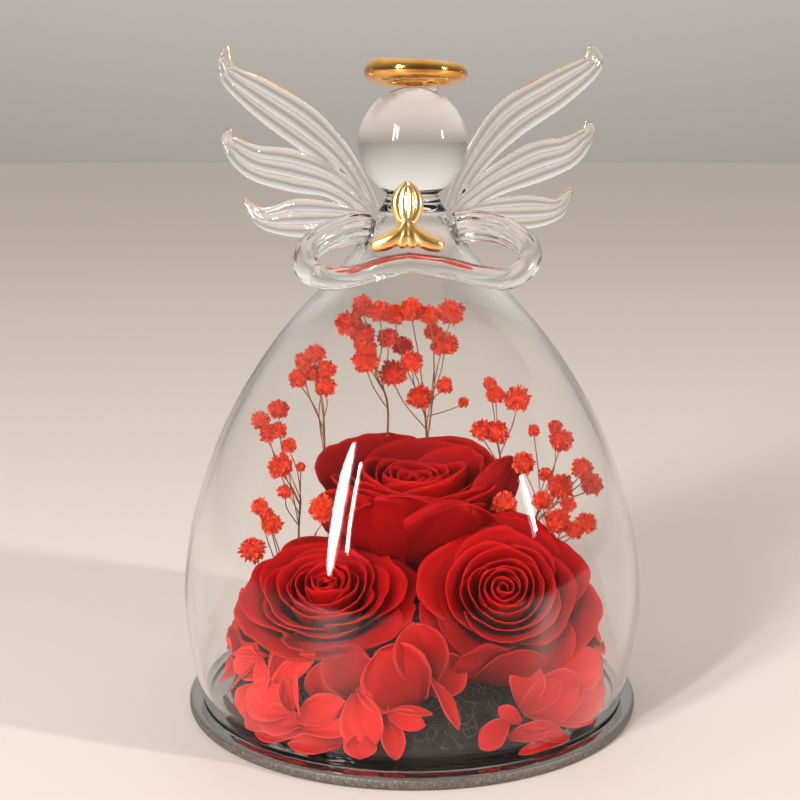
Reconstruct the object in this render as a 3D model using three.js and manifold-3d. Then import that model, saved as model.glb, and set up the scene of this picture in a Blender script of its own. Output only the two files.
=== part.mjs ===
// Preserved roses under a clear glass dome shaped as an angel, on a thin dark round base.
// Millimetres, +Z up, origin at the middle of the base's underside, front of the figure towards -Y.
import * as THREE from 'three';
import { mergeVertices } from 'three/addons/utils/BufferGeometryUtils.js';
import Module from 'manifold-3d';

const wasm = await Module();
wasm.setup();

// Clearance between pieces that touch, and the step over which the slope of a thin sheet is taken
const GAP = 0.3;
const SHEET_STEP = 0.01;

// Base plate
const BASE_RADIUS = 60;
const BASE_HEIGHT = 3;
const BASE_CHAMFER = 0.6;
const BASE_ROUNDING = 0.8;
const BASE_SIDES = 40;

// Glass dome: radius and height of its outer and inner faces
const DOME_SIDES = 32;
const DOME_FOOT = BASE_HEIGHT + GAP;
const NECK_RADIUS = 6.7;
const NECK_TOP = 135.3;
const DOME_OUTER = [
  [56.4, DOME_FOOT], [58.7, 13], [60.65, 31], [57.6, 52], [48.9, 76],
  [35.3, 98], [19, 116], [13, 123.5], [10.9, 130.5], [NECK_RADIUS, NECK_TOP],
];
const DOME_INNER = [
  [54.8, DOME_FOOT], [57.1, 13], [59, 31], [55.9, 52], [46.9, 76],
  [33, 98.3], [17.5, 114], [11.5, 121], [9, 127], [6.2, 130.6], [0, 131.8],
];
const OUTER_BANDS = 14;
const INNER_BANDS = 11;

// Head and halo
const HEAD_RADIUS = 14.05;
const HEAD_CENTRE = 147.6;
const HEAD_SIDES = 20;
const HEAD_BANDS = 8;
const HALO_CENTRE = new THREE.Vector3(1, 0, 164.8);
const HALO_RADIUS = 10.6;
const HALO_TUBE = 2.4;
const HALO_LEAN = THREE.MathUtils.degToRad(-3.5);
const HALO_SIDES = 24;
const HALO_TUBE_SIDES = 8;
const POST_PLACE = new THREE.Vector3(4.7, 8.3, 160);
const POST_RADIUS = 1.7;
const POST_LENGTH = 8;
const POST_SIDES = 8;

// Wings: each feather's middle line as distance from the axis, height and half width, from root to tip.
// A feather's section has three ridges in front; across counts in half widths and deep in half thicknesses.
const WING_DEPTH = 3.2;
const WING_SWEEP = 0.18;
const FEATHER_RINGS = 8;
const FEATHER_HALF_THICKNESS = 1.7;
const FEATHER_SLIMNESS = 0.55;
const FEATHER_SECTION = [
  { across: 1, deep: 0 }, { across: 0, deep: 0.8 }, { across: -1, deep: 0 },
  { across: -0.66, deep: -1 }, { across: -0.33, deep: -0.55 }, { across: 0, deep: -1 },
  { across: 0.33, deep: -0.55 }, { across: 0.66, deep: -1 },
];
const RIGHT_FEATHERS = [
  [
    [9, 128.5, 1.6], [15, 141, 3], [24.7, 153, 5.1], [37, 160.9, 4.8],
    [46.1, 166.9, 3], [47.1, 169.8, 2], [46, 172.8, 0.5],
  ],
  [
    [9, 128.5, 1.6], [20.2, 136.8, 3.6], [32, 142.5, 5.3], [40.8, 145.3, 4.1],
    [46, 150.2, 2], [46.1, 153.1, 0.5],
  ],
  [[9, 128.5, 1.6], [19, 129.6, 3.3], [30, 129.8, 4.6], [38, 130.6, 2.7], [42, 135.5, 0.5]],
];
const LEFT_FEATHERS = [
  [
    [9, 128.5, 1.6], [17.5, 142, 3.5], [27.6, 151.2, 5.5], [39, 158.8, 4.9],
    [47.2, 164.5, 2.9], [48.8, 168.3, 1.7], [48.4, 172.3, 0.5],
  ],
  [
    [9, 128.5, 1.6], [20.4, 137, 4], [31, 140.4, 5.6], [41.6, 142.7, 4.6],
    [48, 147.6, 2.2], [48.1, 151.1, 0.5],
  ],
  [[9, 128.5, 1.6], [20, 128.5, 3.9], [30.1, 128.2, 5.2], [39, 128, 2.8], [44.4, 132.4, 0.5]],
];

// Arms: middle line from the shoulder to the hands, with the radius of the rod at each point
const RIGHT_ARM = [
  [7, 0, 125, 3.8], [15.6, -3, 126.8, 3.9], [22.2, -7, 126.2, 3.5], [27.9, -12, 123, 3.1],
  [28.8, -16, 119, 2.9], [24, -20, 115.3, 2.7], [16, -23.4, 116, 2.7], [8, -25.2, 118.2, 2.6],
  [-0.2, -25, 119.4, 2.3],
];
const LEFT_ARM = [
  [-7, 0, 125, 3.8], [-14.7, -3, 126.2, 3.8], [-20.8, -7, 124.6, 3.5], [-26, -12, 121.4, 3.2],
  [-26, -17, 117, 3.1], [-21, -20, 115.2, 2.9], [-14, -23, 116, 2.8], [-8, -25, 118, 2.8],
  [-1.9, -25.4, 119.6, 2.3],
];
const ARM_STEPS = 16;
const ARM_SIDES = 8;

// Praying hands: palms and cuffs, as middle lines with their radius
const PALM = [
  [0.8, -24.9, 128.6, 1.2], [2.5, -24.4, 130.9, 1.5], [3.1, -24, 133.6, 1.6],
  [2.2, -23.7, 136.2, 1.2], [0.8, -23.6, 138, 0.7],
];
const CUFF = [[0.3, -25, 129, 1.4], [3.4, -25.5, 125, 2], [7.3, -25.2, 123.4, 1.8]];
const HANDS_MIDDLE = -1.5;
const HAND_SIDES = 6;

// Moss bed
const MOSS_RADIUS = 49;
const MOSS_EDGE = 1.5;
const MOSS_CREST = 11;
const MOSS_BUMP = { height: 0.6, across: 0.4, along: 0.45 };
const MOSS_RIPPLE = { depth: 0.02, waves: 3 };
const MOSS_SIDES = 20;
const MOSS_RINGS = [0.3, 0.6, 0.82, 1];
const MOSS_CLEARANCE = 1;

// Roses: middle of the open face, its radius, depth down to the calyx, lean towards the front, stem below
const ROSES = {
  left: { face: [-22, -20.5, 38.6], radius: 22, depth: 17.5, lean: 24, stem: 4 },
  right: { face: [23.2, -22, 37.2], radius: 22, depth: 17.5, lean: 46, stem: 7 },
  back: { face: [0.5, 17, 59.5], radius: 27.8, depth: 23, lean: 8, stem: 17 },
};
const PETALS_PER_ROSE = 8;
const PETAL_CELLS = { across: 4, along: 2 };
const PETAL_THICKNESS = 0.6;
const PETAL_START = 0.05;
const PETAL_REACH = 0.93;
const PETAL_DROOP = 0.11;
const PETAL_WAIST = 0.6;
const PETAL_SPREAD = { inner: THREE.MathUtils.degToRad(78), outer: THREE.MathUtils.degToRad(56) };
const GOLDEN_ANGLE = THREE.MathUtils.degToRad(137.5);

// Petal layers of a rose, from the innermost to the outermost: foot and rim in radii, height in depths
const LAYER_FOOT = { inner: 0.12, outer: 0.36 };
const LAYER_RIM = { inner: 0.3, outer: 1 };
const LAYER_HEIGHT = { inner: 1.04, outer: 0.9 };
const LAYER_CROWDING = 0.45;
const LAYER_CURL = 1.45;

// Rose heart: radius of the rolled bud in radii of the rose, at heights in depths
const BUD = [[0.05, -0.12], [0.09, 0.04], [0.2, 0.4], [0.25, 0.75], [0.22, 1], [0.12, 0.93]];
const BUD_SIDES = 8;
const BUD_ROLL = 0.14;
const CALYX_SPREAD = 0.36;
const CALYX_HEIGHTS = { foot: -3, edge: -1.4, rim: -0.7, middle: -0.5 };
const ROSE_STEM_RADIUS = 1.7;
const ROSE_STEM_TAIL = 2.5;

// Hydrangea florets: bearing round the axis, distance from it, height, size, and how far each faces up
const FLORETS = {
  front_left_outer: { bearing: -150, distance: 46, height: 13, size: 12.5, upward: 38 },
  front_left: { bearing: -121, distance: 46, height: 12, size: 12.5, upward: 40 },
  front_middle: { bearing: -95, distance: 46.5, height: 11.5, size: 12, upward: 42 },
  front_right: { bearing: -63, distance: 47, height: 8.5, size: 8, upward: 55 },
  right_front: { bearing: -36, distance: 47, height: 11.6, size: 11, upward: 36 },
  right: { bearing: -7, distance: 48, height: 20, size: 12, upward: 20 },
  back_right: { bearing: 25, distance: 46, height: 13, size: 12.5, upward: 40 },
  back_right_inner: { bearing: 57, distance: 46, height: 13, size: 12.5, upward: 40 },
  back_left_inner: { bearing: 92, distance: 46, height: 13, size: 12.5, upward: 40 },
  back_left: { bearing: 125, distance: 46, height: 13, size: 12.5, upward: 40 },
  left: { bearing: 172, distance: 47, height: 21, size: 12, upward: 20 },
};
const FLORET_THICKNESS = 0.6;
const FLORET_POINTS = 16;
const FLORET_RINGS = [0.4, 1];
const FLORET_CLEFT = 0.55;
const FLORET_BLUNTNESS = 0.6;
const FLORET_CUP = 0.012;

// Baby's-breath sprigs: foot of the stem, its bends, and the flower heads that it runs through, with radii
const SPRIGS = {
  back_left: {
    foot: [-10, 29], bends: [[-11, 33, 32], [-12, 48.5, 58], [-12, 32, 80]],
    heads: [[-12.4, 12, 89, 2.8], [-16.4, 8, 98.6, 2.8], [-11.6, 9, 104, 2.6]],
  },
  back_top: {
    foot: [8, 29], bends: [[7, 33, 32], [5, 48.5, 58]],
    heads: [[2.4, 24, 76, 2.8], [-3.6, 20, 84, 2.8], [-0.8, 9, 103.6, 2.8], [9.6, 9, 103.4, 2.8]],
  },
  left_upper: {
    foot: [-26, 22], bends: [[-28, 27, 32], [-27, 34, 56], [-25, 22, 74]],
    heads: [[-23.4, 9, 84.6, 2.8], [-30.4, 8, 85.8, 2.8], [-27, 8, 91.4, 2.8]],
  },
  left_outer: {
    foot: [-30, 14], bends: [[-32, 20, 34], [-31, 21, 50]],
    heads: [[-35.4, 4, 62.4, 2.8], [-38.2, 4, 71.4, 2.4], [-40.6, 4, 75.2, 2.4], [-35.7, 4, 77.6, 2.6]],
  },
  left_lower: {
    foot: [-33, 4], bends: [[-37, 9, 30]],
    heads: [[-42.1, -6, 42.2, 2.8], [-37.4, -5, 48.8, 2.6], [-40, -5, 53.8, 2.6]],
  },
  left_middle: {
    foot: [-27, 6], bends: [[-28, 8, 30], [-27, 3, 46]],
    heads: [[-23.6, -4, 53.6, 3]],
  },
  right_upper: {
    foot: [22, 26], bends: [[25, 32, 32], [29, 28, 52]],
    heads: [[30.6, 12, 60.7, 2.4], [20.9, 12, 71, 3], [29, 8, 79.6, 3], [21.8, 8, 81.6, 2.4]],
  },
  right_outer: {
    foot: [29, 17], bends: [[32, 22, 34], [37, 18, 52]],
    heads: [[49, 2, 57, 2.6], [46, 4, 62.2, 2.6], [40, 4, 70.2, 3.2], [32.8, 8, 70.9, 1.6]],
  },
  right_lower: {
    foot: [31, 6], bends: [[37, 7, 32], [43, 2, 43]],
    heads: [[45.6, -9, 50.8, 2.6], [38, -9, 53, 2.6], [38.9, -4, 59.6, 3]],
  },
};
const STEM_RADIUS = 0.55;
const STEM_SIDES = 3;

const clearGlass = { color: 0xeef1ec, roughness: 0.05, metalness: 0 };
const gold = { color: 0xd79a3c, roughness: 0.15, metalness: 1 };
const blackGloss = { color: 0x2b2724, roughness: 0.2, metalness: 0 };
const driedMoss = { color: 0x4b4442, roughness: 0.95, metalness: 0 };
const rosePetalRed = { color: 0xb8060a, roughness: 0.7, metalness: 0 };
const roseHeartRed = { color: 0x9c0408, roughness: 0.75, metalness: 0 };
const hydrangeaPetal = { color: 0xe2463f, roughness: 0.75, metalness: 0 };
const babysBreath = { color: 0xdb3c2c, roughness: 0.85, metalness: 0 };

const model = new THREE.Group();

function addPiece(name, geometry, look, parent = model) {
  const mesh = new THREE.Mesh(geometry, new THREE.MeshStandardMaterial(look));
  mesh.name = name;
  parent.add(mesh);
  return mesh;
}

function toSolid(geometry) {
  const bare = geometry.clone();
  bare.deleteAttribute('normal');
  bare.deleteAttribute('uv');
  const merged = mergeVertices(bare, 1e-4);
  const corners = merged.index.array;
  const kept = [];
  for (let i = 0; i < corners.length; i += 3) {
    const [a, b, c] = [corners[i], corners[i + 1], corners[i + 2]];
    if (a !== b && b !== c && c !== a) {
      kept.push(a, b, c);
    }
  }
  return new wasm.Manifold(new wasm.Mesh({
    numProp: 3,
    vertProperties: new Float32Array(merged.attributes.position.array),
    triVerts: new Uint32Array(kept),
  }));
}

function toGeometry(solid) {
  const mesh = solid.getMesh();
  const geometry = new THREE.BufferGeometry();
  geometry.setAttribute('position', new THREE.BufferAttribute(mesh.vertProperties, 3));
  geometry.setIndex(new THREE.BufferAttribute(mesh.triVerts, 1));
  return geometry;
}

function joined(geometries) {
  return geometries.map(toSolid).reduce((sum, solid) => sum.add(solid));
}

// Turned body with its axis along +Z, from a profile of radius and height points
function turned(profile, sides) {
  const geometry = new THREE.LatheGeometry(profile, sides);
  geometry.rotateX(Math.PI / 2);
  return geometry;
}

function smoothProfile(points, bands) {
  const corners = points.map(([radius, height]) => new THREE.Vector2(radius, height));
  return new THREE.SplineCurve(corners).getPoints(bands);
}

function indexed(points, triangles) {
  const geometry = new THREE.BufferGeometry().setFromPoints(points);
  geometry.setIndex(triangles);
  return geometry;
}

// Closed skin over rings that run counterclockwise about the direction in which they follow each other
function skin(rings) {
  const count = rings[0].length;
  const points = rings.flat();
  const triangles = [];
  for (let j = 0; j + 1 < rings.length; j += 1) {
    for (let i = 0; i < count; i += 1) {
      const next = (i + 1) % count;
      const [a, b, c, d] = [j * count + i, j * count + next, (j + 1) * count + next, (j + 1) * count + i];
      triangles.push(a, b, c, a, c, d);
    }
  }
  const last = (rings.length - 1) * count;
  for (let i = 1; i + 1 < count; i += 1) {
    triangles.push(0, i + 1, i, last, last + i, last + i + 1);
  }
  return indexed(points, triangles);
}

// Round rod through points given as x, y, z and radius, with its section carried along without twist
function rod(points, sides, steps) {
  const curve = new THREE.CatmullRomCurve3(points.map(([x, y, z]) => new THREE.Vector3(x, y, z)));
  const wide = new THREE.Vector3(0.3, 0.9, 0.3);
  const rings = [];
  for (let j = 0; j <= steps; j += 1) {
    const along = j / steps;
    const tangent = curve.getTangent(along);
    wide.projectOnPlane(tangent).normalize();
    const deep = tangent.clone().cross(wide);
    const place = along * (points.length - 1);
    const before = Math.min(Math.floor(place), points.length - 2);
    const radius = THREE.MathUtils.lerp(points[before][3], points[before + 1][3], place - before);
    const ring = [];
    for (let i = 0; i < sides; i += 1) {
      const angle = (2 * Math.PI * i) / sides;
      ring.push(curve.getPoint(along)
        .addScaledVector(wide, radius * Math.cos(angle))
        .addScaledVector(deep, radius * Math.sin(angle)));
    }
    rings.push(ring);
  }
  return skin(rings);
}

// Thin closed sheet over surface(u, v), with u from -1 to 1 and v from 0 to 1
function sheet(surface, across, along, thickness) {
  const under = [];
  const over = [];
  for (let j = 0; j <= along; j += 1) {
    for (let i = 0; i <= across; i += 1) {
      const u = -1 + (2 * i) / across;
      const v = j / along;
      const place = surface(u, v);
      const alongU = surface(u + SHEET_STEP, v).sub(surface(u - SHEET_STEP, v));
      const alongV = surface(u, v + SHEET_STEP).sub(surface(u, v - SHEET_STEP));
      const normal = alongU.cross(alongV).normalize();
      under.push(place);
      over.push(place.clone().addScaledVector(normal, thickness));
    }
  }
  const row = across + 1;
  const total = under.length;
  const triangles = [];
  for (let j = 0; j < along; j += 1) {
    for (let i = 0; i < across; i += 1) {
      const a = j * row + i;
      const [b, c, d] = [a + 1, a + row + 1, a + row];
      triangles.push(a, c, b, a, d, c);
      triangles.push(total + a, total + b, total + c, total + a, total + c, total + d);
    }
  }
  const rim = [];
  for (let i = 0; i < across; i += 1) {
    rim.push(i);
  }
  for (let j = 0; j < along; j += 1) {
    rim.push(j * row + across);
  }
  for (let i = across; i > 0; i -= 1) {
    rim.push(along * row + i);
  }
  for (let j = along; j > 0; j -= 1) {
    rim.push(j * row);
  }
  rim.forEach((a, i) => {
    const b = rim[(i + 1) % rim.length];
    triangles.push(a, b, total + b, a, total + b, total + a);
  });
  return indexed([...under, ...over], triangles);
}

function basePlate() {
  const profile = [
    [0, 0], [BASE_RADIUS - BASE_CHAMFER, 0], [BASE_RADIUS, BASE_CHAMFER],
    [BASE_RADIUS, BASE_HEIGHT - BASE_ROUNDING], [BASE_RADIUS - BASE_ROUNDING, BASE_HEIGHT], [0, BASE_HEIGHT],
  ];
  return turned(profile.map(([radius, height]) => new THREE.Vector2(radius, height)), BASE_SIDES);
}

function domeProfile(grown) {
  return smoothProfile(DOME_OUTER.map(([radius, height]) => [radius + grown, height]), OUTER_BANDS);
}

function glassDome() {
  const inner = smoothProfile(DOME_INNER, INNER_BANDS).reverse();
  const crown = new THREE.Vector2(0, NECK_TOP);
  return turned([...inner, ...domeProfile(0), crown], DOME_SIDES);
}

// Filled dome, a clearance wider, that trims what is set against the glass
function domeCutter() {
  const foot = new THREE.Vector2(0, DOME_FOOT);
  const crown = new THREE.Vector2(0, NECK_TOP + GAP);
  return toSolid(turned([foot, ...domeProfile(GAP), crown], DOME_SIDES));
}

function headBall(grown) {
  const radius = HEAD_RADIUS + grown;
  const flat = NECK_TOP + GAP;
  const profile = [new THREE.Vector2(0, flat)];
  const start = Math.acos((HEAD_CENTRE - flat) / radius);
  for (let i = 0; i <= HEAD_BANDS; i += 1) {
    const angle = THREE.MathUtils.lerp(start, Math.PI, i / HEAD_BANDS);
    profile.push(new THREE.Vector2(radius * Math.sin(angle), HEAD_CENTRE - radius * Math.cos(angle)));
  }
  profile[profile.length - 1].x = 0;
  return turned(profile, HEAD_SIDES);
}

function haloRing(grown) {
  const ring = new THREE.TorusGeometry(HALO_RADIUS, HALO_TUBE + grown, HALO_TUBE_SIDES, HALO_SIDES);
  ring.rotateX(HALO_LEAN);
  ring.translate(HALO_CENTRE.x, HALO_CENTRE.y, HALO_CENTRE.z);
  return ring;
}

function haloPost() {
  const peg = new THREE.CylinderGeometry(POST_RADIUS, POST_RADIUS, POST_LENGTH, POST_SIDES);
  peg.rotateX(Math.PI / 2);
  peg.translate(POST_PLACE.x, POST_PLACE.y, POST_PLACE.z);
  return toGeometry(toSolid(peg).subtract(toSolid(headBall(GAP))).subtract(toSolid(haloRing(GAP))));
}

// Feather with three ridges along its front, on the side (+1 right, -1 left) of the figure
function feather(points, side) {
  const line = new THREE.CatmullRomCurve3(points.map(([out, height]) => new THREE.Vector3(out, 0, height)));
  const widths = new THREE.CatmullRomCurve3(points.map(([, , half], i) => new THREE.Vector3(i, half, 0)));
  const back = new THREE.Vector3(0, 1, 0);
  const rings = [];
  for (let j = 0; j < FEATHER_RINGS; j += 1) {
    const t = j / (FEATHER_RINGS - 1);
    const place = line.getPoint(t);
    const half = widths.getPoint(t).y;
    const wide = back.clone().cross(line.getTangent(t));
    const thick = Math.min(FEATHER_HALF_THICKNESS, FEATHER_SLIMNESS * half);
    const setBack = WING_DEPTH + WING_SWEEP * place.x;
    const ring = FEATHER_SECTION.map(({ across, deep }) => place.clone()
      .addScaledVector(wide, across * half)
      .addScaledVector(back, deep * thick + setBack));
    ring.forEach((point) => {
      point.x *= side;
    });
    rings.push(side > 0 ? ring : ring.reverse());
  }
  return skin(rings);
}

function wing(feathers, side, cutter) {
  return toGeometry(joined(feathers.map((points) => feather(points, side))).subtract(cutter));
}

function arm(points, cutter) {
  return toGeometry(toSolid(rod(points, ARM_SIDES, ARM_STEPS)).subtract(cutter));
}

function prayingHands() {
  const rods = [];
  for (const side of [-1, 1]) {
    const mirrored = (points) => points.map(([x, y, z, radius]) => [HANDS_MIDDLE + side * x, y, z, radius]);
    rods.push(rod(mirrored(PALM), HAND_SIDES, PALM.length));
    rods.push(rod(mirrored(CUFF), HAND_SIDES, CUFF.length - 1));
  }
  return toGeometry(joined(rods));
}

function mossHeight(x, y) {
  const out = Math.hypot(x, y) / MOSS_RADIUS;
  const bumps = MOSS_BUMP.height * Math.sin(MOSS_BUMP.across * x + 1) * Math.cos(MOSS_BUMP.along * y);
  return DOME_FOOT + MOSS_EDGE + MOSS_CREST * Math.max(0, 1 - out ** 4) + bumps;
}

function mossBed() {
  const rings = [1, ...MOSS_RINGS.slice().reverse()].map((share, j) => {
    const ring = [];
    for (let i = 0; i < MOSS_SIDES; i += 1) {
      const angle = (2 * Math.PI * i) / MOSS_SIDES;
      const ripple = MOSS_RIPPLE.depth * Math.sin(MOSS_RIPPLE.waves * angle);
      const radius = share * MOSS_RADIUS * (1 + ripple);
      const x = radius * Math.cos(angle);
      const y = radius * Math.sin(angle);
      ring.push(new THREE.Vector3(x, y, j === 0 ? DOME_FOOT : mossHeight(x, y)));
    }
    return ring;
  });
  return skin(rings);
}

function layered({ inner, outer }, k) {
  return THREE.MathUtils.lerp(inner, outer, k);
}

// Place on the petal layer k (0 at the heart, 1 outermost) of a rose whose calyx is at its origin
function petalPoint(rose, k, angle, rise) {
  const foot = rose.radius * layered(LAYER_FOOT, k);
  const rim = rose.radius * layered(LAYER_RIM, k);
  const tall = rose.depth * layered(LAYER_HEIGHT, k * k);
  const radius = THREE.MathUtils.lerp(foot, rim, rise);
  return new THREE.Vector3(radius * Math.cos(angle), radius * Math.sin(angle), tall * rise ** LAYER_CURL);
}

function petalSheet(rose, number) {
  const k = ((number + 1) / PETALS_PER_ROSE) ** LAYER_CROWDING;
  const middle = number * GOLDEN_ANGLE;
  const spread = layered(PETAL_SPREAD, k);
  const surface = (u, v) => {
    const rise = PETAL_START + v * (PETAL_REACH - PETAL_DROOP * u * u);
    const width = THREE.MathUtils.lerp(PETAL_WAIST, 1, v);
    return petalPoint(rose, k, middle - u * spread * width, rise);
  };
  return sheet(surface, PETAL_CELLS.across, PETAL_CELLS.along, PETAL_THICKNESS);
}

// Rolled heart on its receptacle, calyx and stub of stem
function roseHeart({ radius, depth, stem }) {
  const rings = BUD.map(([wide, high]) => {
    const ring = [];
    for (let i = 0; i < BUD_SIDES; i += 1) {
      const angle = (2 * Math.PI * i) / BUD_SIDES;
      const reach = wide * radius * (1 - BUD_ROLL * (1 - i / (BUD_SIDES - 1)));
      ring.push(new THREE.Vector3(reach * Math.cos(angle), reach * Math.sin(angle), high * depth));
    }
    return ring;
  });
  const stemEnd = -stem - ROSE_STEM_TAIL;
  const calyxRadius = CALYX_SPREAD * radius;
  const calyx = [
    [0, stemEnd], [ROSE_STEM_RADIUS, stemEnd], [ROSE_STEM_RADIUS, CALYX_HEIGHTS.foot],
    [calyxRadius, CALYX_HEIGHTS.edge], [calyxRadius, CALYX_HEIGHTS.rim], [0, CALYX_HEIGHTS.middle],
  ];
  const cup = turned(calyx.map(([r, z]) => new THREE.Vector2(r, z)), BUD_SIDES);
  return toGeometry(joined([skin(rings), cup]));
}

function addRose(name, rose) {
  const holder = new THREE.Group();
  const lean = THREE.MathUtils.degToRad(rose.lean);
  const axis = new THREE.Vector3(0, -Math.sin(lean), Math.cos(lean));
  holder.position.set(...rose.face).addScaledVector(axis, -rose.depth);
  holder.rotation.x = lean;
  addPiece(`rose_${name}_heart`, roseHeart(rose), roseHeartRed, holder);
  for (let i = 0; i < PETALS_PER_ROSE; i += 1) {
    addPiece(`rose_${name}_petal_${i + 1}`, petalSheet(rose, i), rosePetalRed, holder);
  }
  model.add(holder);
}

// Four-petalled floret facing +Z: a shallow cup with a lobed outline
function floretBody(size) {
  const under = [];
  for (const share of FLORET_RINGS) {
    for (let i = 0; i < FLORET_POINTS; i += 1) {
      const angle = (2 * Math.PI * i) / FLORET_POINTS;
      const lobe = THREE.MathUtils.lerp(FLORET_CLEFT, 1, Math.abs(Math.cos(2 * angle)) ** FLORET_BLUNTNESS);
      const reach = size * share * (share < 1 ? 1 : lobe);
      const rise = FLORET_CUP * reach * reach;
      under.push(new THREE.Vector3(reach * Math.cos(angle), reach * Math.sin(angle), rise));
    }
  }
  under.push(new THREE.Vector3(0, 0, 0));
  const over = under.map(({ x, y, z }) => new THREE.Vector3(x, y, z + FLORET_THICKNESS));
  const total = under.length;
  const middle = total - 1;
  const triangles = [];
  for (let a = 0; a < FLORET_POINTS; a += 1) {
    const b = (a + 1) % FLORET_POINTS;
    const c = FLORET_POINTS + a;
    const d = FLORET_POINTS + b;
    triangles.push(middle, b, a, a, b, d, a, d, c);
    triangles.push(total + middle, total + a, total + b);
    triangles.push(total + a, total + d, total + b, total + a, total + c, total + d);
    triangles.push(c, d, total + d, c, total + d, total + c);
  }
  return indexed([...under, ...over], triangles);
}

function addFloret(name, { bearing, distance, height, size, upward }) {
  const turn = THREE.MathUtils.degToRad(bearing);
  const piece = addPiece(`hydrangea_${name}`, floretBody(size), hydrangeaPetal);
  piece.position.set(distance * Math.cos(turn), distance * Math.sin(turn), height);
  piece.rotation.order = 'ZYX';
  piece.rotation.set(0, Math.PI / 2 - THREE.MathUtils.degToRad(upward), turn);
  piece.geometry.rotateZ(Math.PI / 4);
}

function addSprig(name, { foot, bends, heads }) {
  const [x, y] = foot;
  const root = [x, y, mossHeight(x, y) + MOSS_CLEARANCE, STEM_RADIUS];
  const route = [...bends, ...heads].map(([bx, by, bz]) => [bx, by, bz, STEM_RADIUS]);
  const flowers = heads.map(([hx, hy, hz, radius]) => (
    new THREE.IcosahedronGeometry(radius, 0).translate(hx, hy, hz)));
  const stem = rod([root, ...route], STEM_SIDES, route.length);
  addPiece(`babys_breath_${name}`, toGeometry(joined([stem, ...flowers])), babysBreath);
}

addPiece('base_plate', basePlate(), blackGloss);
addPiece('glass_dome', glassDome(), clearGlass);
addPiece('head', headBall(0), clearGlass);
addPiece('halo', haloRing(0), gold);
addPiece('halo_post', haloPost(), clearGlass);

const cutter = domeCutter();
addPiece('wing_right', wing(RIGHT_FEATHERS, 1, cutter), clearGlass);
addPiece('wing_left', wing(LEFT_FEATHERS, -1, cutter), clearGlass);
addPiece('arm_right', arm(RIGHT_ARM, cutter), clearGlass);
addPiece('arm_left', arm(LEFT_ARM, cutter), clearGlass);
addPiece('praying_hands', prayingHands(), gold);

addPiece('moss_bed', mossBed(), driedMoss);
Object.entries(ROSES).forEach(([name, rose]) => addRose(name, rose));
Object.entries(FLORETS).forEach(([name, floret]) => addFloret(name, floret));
Object.entries(SPRIGS).forEach(([name, sprig]) => addSprig(name, sprig));

export default model;
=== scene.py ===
# A clear glass dome shaped as an angel, over preserved roses, hydrangea, baby's breath and moss.
# Blender 4.5. Shapes are worked out in millimetres, as in the CAD source, and become meshes in metres.
import math
import random

import bmesh
import bpy
from mathutils import Matrix, Vector, noise


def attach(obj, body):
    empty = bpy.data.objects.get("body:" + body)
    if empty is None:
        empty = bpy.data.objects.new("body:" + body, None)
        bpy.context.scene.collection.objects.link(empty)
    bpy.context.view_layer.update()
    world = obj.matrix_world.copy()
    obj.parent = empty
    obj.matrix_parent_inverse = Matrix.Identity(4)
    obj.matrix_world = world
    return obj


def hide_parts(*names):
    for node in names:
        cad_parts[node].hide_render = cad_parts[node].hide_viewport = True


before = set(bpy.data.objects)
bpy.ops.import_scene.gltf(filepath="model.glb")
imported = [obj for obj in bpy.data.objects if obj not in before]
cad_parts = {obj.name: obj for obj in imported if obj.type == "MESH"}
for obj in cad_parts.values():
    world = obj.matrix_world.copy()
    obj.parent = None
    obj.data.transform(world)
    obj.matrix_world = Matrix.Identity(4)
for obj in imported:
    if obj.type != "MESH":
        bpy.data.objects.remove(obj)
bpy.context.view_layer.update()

MM = 0.001
BODY = "root"

# Camera of the photo, in millimetres
CAMERA_PLACE = Vector((-3.2, -362.1, 149.2))
CAMERA_PITCH = math.radians(-10.65)
CAMERA_LENS = 63
SENSOR_WIDTH = 36

# Lights, in metres and watts: the place that all face, and form, place, width, height, power, colour
LIT_PLACE = Vector((0, 0, 0.06))
LIGHTS = {
    "window_left": ("ELLIPSE", (-0.77, -0.9, 0.57), 0.13, 0.76, 15, (1, 0.97, 0.93)),
    "window_right": ("RECTANGLE", (-0.645, -1, 0.6), 0.035, 0.5, 12, (1, 0.97, 0.93)),
    "softbox_right": ("RECTANGLE", (1.2, -0.55, 0.5), 0.05, 0.3, 17, (1, 0.95, 0.9)),
}

# Surroundings: the direction in which they brighten, and colours along it
SKY_STRENGTH = 0.74
SKY_DIRECTION = (0, 0.45, 0.8)
SKY_COLOURS = [(0.02, (0.2, 0.18, 0.166)), (0.43, (0.52, 0.475, 0.435)), (0.85, (1.25, 1.18, 1.1))]

# Floor: radius in millimetres, and colours from its front at -1 m to its back at 1 m, as 0 to 1: painted
# shade darkens the front, on the camera's side, and the back is a little lighter
FLOOR_RADIUS = 8000
FLOOR_SIDES = 96
FLOOR_COLOURS_WITH_PAINTED_SHADE = [
    (0.395, (0.34, 0.3, 0.28)), (0.432, (0.6, 0.53, 0.5)), (0.58, (0.6, 0.53, 0.5)), (1, (0.66, 0.585, 0.54)),
]

# Base plate, as radius and height round its section, and the height where its rough edge ends
BASE_PROFILE = [
    (0, 0), (59.2, 0), (59.8, 0.25), (60, 0.7), (60, 2.1), (59.75, 2.6), (59.3, 2.9), (58.7, 3), (0, 3),
]
BASE_SIDES = 160
BASE_EDGE_TOP = 2.6

# Glass dome, as radius and height of its outer and inner faces
DOME_FOOT = 3.3
DOME_OUTER = [
    (56.4, DOME_FOOT), (58.7, 13), (60.65, 31), (57.6, 52), (48.9, 76),
    (35.3, 98), (19, 116), (13, 123.5), (9.4, 129.6), (7.5, 132.4),
]
DOME_INNER = [
    (54.8, DOME_FOOT), (57.1, 13), (59, 31), (55.9, 52), (46.9, 76),
    (33, 98.3), (17.5, 114), (11.5, 121), (9, 127), (6.2, 130.6), (0, 131.8),
]
DOME_STEPS = 70
DOME_SIDES = 160
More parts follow.
